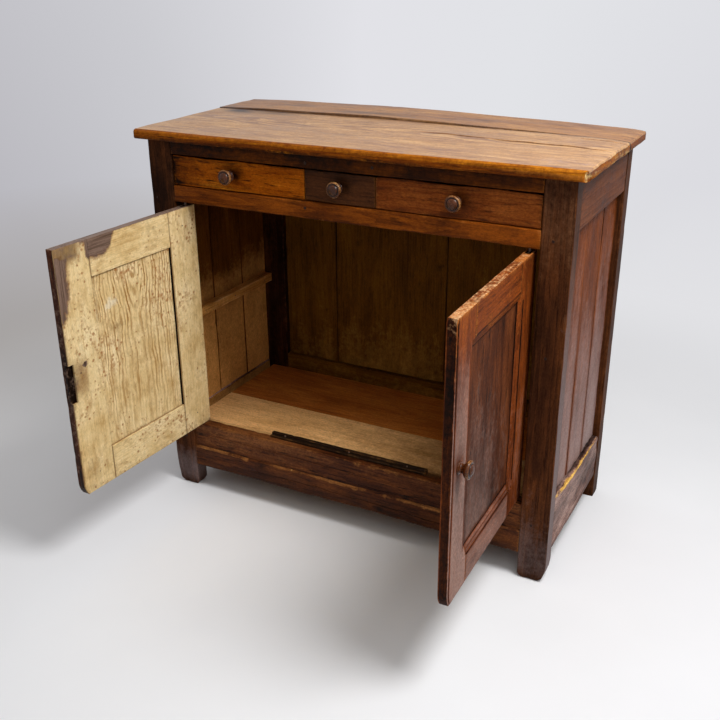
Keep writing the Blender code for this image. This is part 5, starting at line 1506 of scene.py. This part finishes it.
    # rails, with the ends of their tenons showing in the stiles' edges
    innerLow, innerUp = min(hingeIn, freeIn), max(hingeIn, freeIn)
    for n, (place, z0, z1) in enumerate((("top", openUp, d["up"]), ("bottom", d["low"], openLow))):
        top = place == "top"
        low, high = (innerLow + fit, frontY, z0), (innerUp - fit, back, z1)

        def cutRail(points, made):
            z = points[:, 2]
            moulded(made, np.maximum(z - openUp if top else openLow - z, 0))

        def shadeRail(points, marks, sides):
            wear, tone, bare, coat = marks.T
            paint(points, marks, sides, 1, "rail")
            x, y, z = points.T
            mouldTone(z - openUp if top else openLow - z, points, marks)
            seam = np.minimum(x - low[0], high[0] - x)
            tone[seam < d["seam"]] -= 0.45
            tone -= 0.15 * bell(seam, 0.005)
            # painted shade on the recess wall beside the panel
            wall = (sides == (0 if top else 2)) & (y > frontY + d["panelSet"] + d["panel"])
            coat[wall] = 1.0
            tone[wall] -= 0.30

        shares = fine / d["rail"]
        ends = [low[0] + t for t in d["stepAt"]] + [high[0] - t for t in d["stepAt"]]
        boards = [board(low, high, 0, seed + 5 + n, chips=4, endRound=0.0010, shape=cutRail, shade=shadeRail,
                        step=0.009, stations=ends, extra={3: list(1 - shares if top else shares)}, **edged)]
        middle = np.array((frontY + d["panelSet"] + d["panel"] / 2, (z0 + z1) / 2))
        half = np.array((d["tenonThick"], d["tenonTall"])) / 2

        def shadeTenon(points, marks, sides):
            marks[:, :2] = (0.0, 0.06)

        for end, inner in ((hinge, hingeIn), (free, freeIn)):
            shown = end + d["tenonProud"] * (1 if end > inner else -1)
            boards.append(board((min(shown, inner), *(middle - half)), (max(shown, inner), *(middle + half)),
                                0, seed + 8 + n, radius=0.0005, bow=0.0001, worn=0.1, shade=shadeTenon))
        name = body + "_rail_" + place
        buildPiece(name, boards, frameWood, body, [name], slot, turn, merge=True)

    # panel, shrunk away from the hinge stile
    low = (innerLow - d["tongue"], frontY + d["panelSet"], openLow - d["tongue"])
    high = (innerUp + d["tongue"], frontY + d["panelSet"] + d["panel"], openUp + d["tongue"])
    grooveEnd = hingeIn - side * d["grooveWide"]

    def inGroove(points):
        return (side * (points[:, 0] - grooveEnd) > 0) & (points[:, 1] > high[1] - 0.002)

    def cutPanel(points, made):
        made[inGroove(points), 1] -= d["grooveDeep"]

    def shadePanel(points, marks, sides):
        wear, tone, bare, coat = marks.T
        paint(points, marks, sides, 2, "panel")
        x, y, z = points.T
        along = d["pinX"] - side * x
        coat[:] = clamped((y - high[1] + 0.002) / 0.001)
        wear[:] = 0.0
        bare[:] = 0.0
        beside = np.minimum(x - low[0] - d["tongue"], high[0] - d["tongue"] - x)
        ends = np.minimum(z - openLow, openUp - z)
        # painted shade along the panel's edges in the recess
        tone -= 0.22 * bell(clamped(np.minimum(ends, beside)), 0.006)
        tone -= 0.45 * bell(clamped(ends), 0.0016)
        # painted shade: the groove beside the shrunk panel black
        groove = inGroove(points)
        coat[groove] = 0.0
        tone[groove] = 0.0
        if left:
            for dark, at, atZ, reachX, reachZ in d["panelSoiled"]:
                tone -= dark * spot(points, (-d["pinX"] + at, high[1], atZ), (reachX, 0.003, reachZ))
            tone -= 0.22 * bell(along - 0.343, 0.016) * clamped((z - 0.58) / 0.04)
        else:
            tone -= 0.12 * np.interp(along, (0.10, 0.22), (1, 0))

    across = [hingeIn + side * 0.0002, hingeIn - side * 0.0004,
              grooveEnd + side * d["hair"], grooveEnd - side * d["hair"]]
    tall = [openLow + t for t in d["panelRows"]] + [openUp - t for t in d["panelRows"]]
    made = board(low, high, 2, seed + 12, radius=0.0008, bow=0.0005, worn=0.1, shade=shadePanel, step=0.008,
                 cross=0.012, pith=(0.0, 0.06), tilt=0.0, shape=cutPanel, stations=tall,
                 extra={2: [1 - (x - low[0]) / (high[0] - low[0]) for x in across]})
    buildPiece(body + "_panel", [made], panelWood, body, [body + "_panel"], slot, turn)
    knob = turnedKnobAt(free + side * d["knobIn"], frontY, d["knobZ"], seed + 20)
    buildPiece(body + "Knob", [knob], turnedKnob, body, [body + "_knob"], "knob", turn, merge=True)
    for place in ("top", "bottom"):
        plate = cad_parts[body + "_pivot_" + place]
        plate.data.materials.clear()
        plate.data.materials.append(iron)
    return turn


doorTurns = {word: makeDoor(word) for word in ("left", "right")}
print("doors made")


# Pegs, nails and screws: one small tapered plug set on each point, facing along the point's own direction.
plugMake = {
    "deep": 0.004,         # how far a plug goes in
    "taper": 0.82,
    "rails": ((-0.0886, 0.9385), (0.0805, 0.9427), (-0.0920, 0.8350)),
    "posts": ((0.4886, 0.7444), (0.4966, 0.5714), (0.4728, 0.4834), (-0.5221, 0.8151), (0.4935, 0.8300),
              (-0.4935, 0.8300), (0.4935, 0.1500), (-0.4935, 0.1500)),
    "stop": ((-0.19, -0.0080), (0.0, -0.0080), (0.1626, -0.0080)),
    "cleats": (0.07, 0.21, 0.36),
    "plates": (-0.011, 0.0125),
    "doors": ((0.03, 0.757), (0.03, 0.243), (0.39, 0.243)),
    "leftDoor": ((0.4082, 0.5056),),
}


def plugTree(name):
    tree = bpy.data.node_groups.new(name, "GeometryNodeTree")
    face = tree.interface
    face.new_socket("Geometry", in_out="INPUT", socket_type="NodeSocketGeometry")
    sockets = {}
    for label, kind in (("Radius", "Float"), ("Stand", "Float"), ("Sides", "Int"), ("Uneven", "Float"),
                        ("Seed", "Int"), ("Wood", "Material")):
        sockets[label] = face.new_socket(label, in_out="INPUT", socket_type="NodeSocket" + kind).identifier
    face.new_socket("Geometry", in_out="OUTPUT", socket_type="NodeSocketGeometry")
    given = addNode(tree, "NodeGroupInput", out=None)
    narrow = addNode(tree, "Math", (given["Radius"], plugMake["taper"]), operation="MULTIPLY")
    deep = addNode(tree, "Math", (given["Stand"], plugMake["deep"]), operation="ADD")
    cone = addNode(tree, "GeometryNodeMeshCone",
                   {"Vertices": given["Sides"], "Side Segments": 4, "Fill Segments": 3, "Radius Top": narrow,
                    "Radius Bottom": given["Radius"], "Depth": deep}, out="Mesh")
    noise = addNode(tree, "TexNoise", {"Scale": 420.0, "Detail": 2.0}, out="Color")
    middle = addNode(tree, "VectorMath", (noise, (0.5, 0.5, 0.5)), operation="SUBTRACT")
    shift = addNode(tree, "VectorMath", {0: middle, "Scale": given["Uneven"]}, operation="SCALE")
    drop = addNode(tree, "VectorMath", (shift, (0.0, 0.0, -plugMake["deep"])), operation="ADD")
    plug = addNode(tree, "GeometryNodeSetPosition", {"Geometry": cone, "Offset": drop})
    facing = addNode(tree, "GeometryNodeInputNamedAttribute", {"Name": "facing"}, data_type="FLOAT_VECTOR")
    turned = addNode(tree, "FunctionNodeAlignRotationToVector", {"Vector": facing}, axis="Z")
    size = addNode(tree, "FunctionNodeRandomValue", {2: 0.85, 3: 1.15, "Seed": given["Seed"]}, out=1,
                   data_type="FLOAT")
    placed = addNode(tree, "GeometryNodeInstanceOnPoints",
                     {"Points": given["Geometry"], "Instance": plug, "Rotation": turned, "Scale": size})
    real = addNode(tree, "GeometryNodeRealizeInstances", {"Geometry": placed})
    dressed = addNode(tree, "GeometryNodeSetMaterial", {"Geometry": real, "Material": given["Wood"]})
    addNode(tree, "NodeGroupOutput", (dressed,), out=None)
    return tree, sockets


plugs, plugSockets = plugTree("plugsOnPoints")


def setPlugs(name, places, facing, body, slot, turn=None, **settings):   # facing: one way, or one for each
    spots = np.array(places, float)
    ways = np.array(np.broadcast_to(facing, spots.shape), float)
    if turn is not None:
        spots = turnedPoints(spots, turn)
        ways = ways @ np.array(turn.to_3x3()).T
    mesh = bpy.data.meshes.new(name + "Spots")
    mesh.from_pydata(spots.tolist(), [], [])
    mesh.attributes.new("facing", "FLOAT_VECTOR", "POINT").data.foreach_set("vector", ways.ravel())
    source = newObject(name + "Spots", mesh)
    step = source.modifiers.new("plugs", "NODES")
    step.node_group = plugs
    for label, value in settings.items():
        step[plugSockets[label]] = value
    made = bpy.data.meshes.new_from_object(source.evaluated_get(bpy.context.evaluated_depsgraph_get()))
    bpy.data.objects.remove(source)
    thing = newObject(name, made)
    made.shade_smooth()
    made.set_sharp_from_angle(angle=sharpAngle)
    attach(thing, body)


def makePlugs():
    setPlugs("rails", [(x, frontY, z) for x, z in plugMake["rails"]], (0, -1, 0), "case", "rail",
             Radius=0.0042, Stand=0.0006, Sides=10, Uneven=0.0008, Seed=3, Wood=pegs)
    setPlugs("postPegs", [(x, frontY, z) for x, z in plugMake["posts"]], (0, -1, 0), "case", "post",
             Radius=0.0040, Stand=0.0003, Sides=9, Uneven=0.0008, Seed=5, Wood=pegs)
    stopTop = boxOf("door_stop")[1][2]
    setPlugs("stopNails", [(x, y, stopTop) for x, y in plugMake["stop"]], (0, 0, 1), "case", "iron",
             Radius=0.0022, Stand=0.0005, Sides=8, Uneven=0.0005, Seed=7, Wood=iron)
    (low, high), right = boxOf("shelf_cleat_left"), boxOf("shelf_cleat_right")
    middle = (low[2] + high[2]) / 2
    places = [(x, y, middle) for x in (high[0], right[0][0]) for y in plugMake["cleats"]]
    setPlugs("cleatNails", places, [(1, 0, 0)] * 3 + [(-1, 0, 0)] * 3, "case", "iron",
             Radius=0.0025, Stand=0.0005, Sides=8, Uneven=0.0005, Seed=8, Wood=iron)
    d = doorMake
    back, middle = frontY + d["thick"], frontY + d["thick"] / 2
    for word, side in (("left", -1), ("right", 1)):
        body, pinX = "door_" + word, side * d["pinX"]
        places = [(pinX - side * along, middle, z) for z in (d["up"], d["low"])
                  for along in plugMake["plates"]]
        setPlugs("plateScrews" + word, places, [(0, 0, 1)] * 2 + [(0, 0, -1)] * 2, body, "iron",
                 doorTurns[word], Radius=0.0026, Stand=0.0005, Sides=10, Uneven=0.0003, Seed=9, Wood=iron)
        nails = (plugMake["leftDoor"] if word == "left" else ()) + plugMake["doors"]
        setPlugs("doorNails" + word, [(pinX - side * along, back, z) for along, z in nails], (0, 1, 0), body,
                 "iron", doorTurns[word], Radius=0.0022, Stand=0.0004, Sides=8, Uneven=0.0005, Seed=4,
                 Wood=iron)


makePlugs()
print("pegs and nails set")


# Studio: one wide pale floor that fades into the even light behind, a soft key from the right,
# weaker lights from the front and the left, a dim surround.
stageMake = {
    "size": 40.0,
    "floor": ((0.3, "ececee"), (0.7, "efeff1")),
    # colours behind from right to left, far off and near
    "behind": ((0.50, "dcdce1"), (0.64, "e2e3e7"), (0.73, "e2e2e7"), (0.83, "cbcbd0"), (0.93, "b9b8be")),
    "behindNear": ((0.46, "e2e2e5"), (0.70, "d4d4d7"), (0.88, "b0acab"), (1.00, "a19d9b")),
    "near": (1.9, 4.5),         # from near to far off, metres
    "fade": (0.7, 2.2),         # where the floor fades into the light behind, metres
    "plain": "dfdfe3",
    "surround": (0.04, 0.76),   # at the horizon, overhead
    "lights": {
        "key": {"place": (1.25, -0.30, 2.35), "aim": (0.0, 0.0, 0.45), "size": 0.9, "power": 45.0},
        "fill": {"place": (1.6, -2.3, 2.6), "aim": (0.0, 0.0, 0.40), "size": 2.0, "power": 10.5},
        "side": {"place": (-2.3, 0.35, 2.0), "aim": (-0.8, -0.2, 0.0), "size": 1.6, "power": 7.0},
    },
}


def raysSeen(tree):   # rays from the camera, and those that metal and glass send on
    rays = addNode(tree, "LightPath", out=None)
    seen = rays["Is Camera Ray"]
    for kind in ("Is Glossy Ray", "Is Transmission Ray"):
        seen = addNode(tree, "Math", (seen, rays[kind]), operation="MAXIMUM")
    return seen


def makeFloor():
    size = stageMake["size"]
    mesh = bpy.data.meshes.new("floor")
    corners = [(-size, -size, 0), (size, -size, 0), (size, size, 0), (-size, size, 0)]
    mesh.from_pydata(corners, [], [(0, 1, 2, 3)])
    floor = newObject("floor", mesh)
    material, tree = newMaterial("paperFloor")
    shader = tree.nodes["Principled BSDF"]
    place = addNode(tree, "TexCoord", out="Object")
    mottle = addNode(tree, "TexNoise", {"Vector": place, "Scale": 3.0, "Detail": 3.0}, out="Fac")
    tree.links.new(addNode(tree, "ValToRGB", (mottle,), stageMake["floor"]), shader.inputs["Base Color"])
    shader.inputs["Roughness"].default_value = 0.85
    shader.inputs["Specular IOR Level"].default_value = 0.1
    away = addNode(tree, "VectorMath", (place,), out="Value", operation="LENGTH")
    start, end = stageMake["fade"]
    far = addNode(tree, "MapRange", {"Value": away, "From Min": start, "From Max": end},
                  interpolation_type="SMOOTHSTEP")
    share = addNode(tree, "Math", (far, raysSeen(tree)), operation="MULTIPLY")
    # the even light behind is darker towards the left, round the middle of the floor
    bearing = addNode(tree, "VectorMath", (place,), operation="NORMALIZE")
    leftward = addNode(tree, "SeparateXYZ", (bearing,))
    level = addNode(tree, "MapRange", {"Value": leftward, "From Min": 1.0, "From Max": -1.0})
    near, wide = (addNode(tree, "ValToRGB", (level,), stageMake[key]) for key in ("behindNear", "behind"))
    start, end = stageMake["near"]
    depth = addNode(tree, "MapRange", {"Value": away, "From Min": start, "From Max": end})
    behind = addNode(tree, "Mix", {0: depth, 6: near, 7: wide}, out=2, data_type="RGBA")
    glow = addNode(tree, "Emission", {"Color": behind, "Strength": 1.0})
    mixed = addNode(tree, "MixShader", (share, shader.outputs[0], glow))
    tree.links.new(mixed, tree.nodes["Material Output"].inputs["Surface"])
    mesh.materials.append(material)


def makeSurround():
    world = bpy.data.worlds.new("surround")
    bpy.context.scene.world = world
    world.use_nodes = True
    tree = world.node_tree
    tree.nodes.clear()
    way = addNode(tree, "TexCoord", out="Generated")
    rising = addNode(tree, "SeparateXYZ", (way,), out=2)
    low, high = stageMake["surround"]
    steep = addNode(tree, "Math", (rising, 2.0), operation="POWER")
    level = addNode(tree, "Math", (steep, high - low, low), operation="MULTIPLY_ADD")
    dim = addNode(tree, "Background", {"Color": (1, 1, 1, 1), "Strength": level})
    plain = addNode(tree, "Background", {"Color": toLinear(stageMake["plain"]), "Strength": 1.0})
    mixed = addNode(tree, "MixShader", (raysSeen(tree), dim, plain))
    addNode(tree, "OutputWorld", (mixed,), out=None)


def makeLights():
    for name, make in stageMake["lights"].items():
        data = bpy.data.lights.new(name, "AREA")
        data.shape = "DISK"
        data.size = make["size"]
        data.energy = make["power"]
        light = newObject(name, data)
        light.location = make["place"]
        way = Vector(make["aim"]) - Vector(make["place"])
        light.rotation_euler = way.to_track_quat("-Z", "Y").to_euler()
    bpy.context.scene.view_settings.view_transform = "Standard"


makeFloor()
makeSurround()
makeLights()
print("stage lit")

bpy.context.view_layer.update()
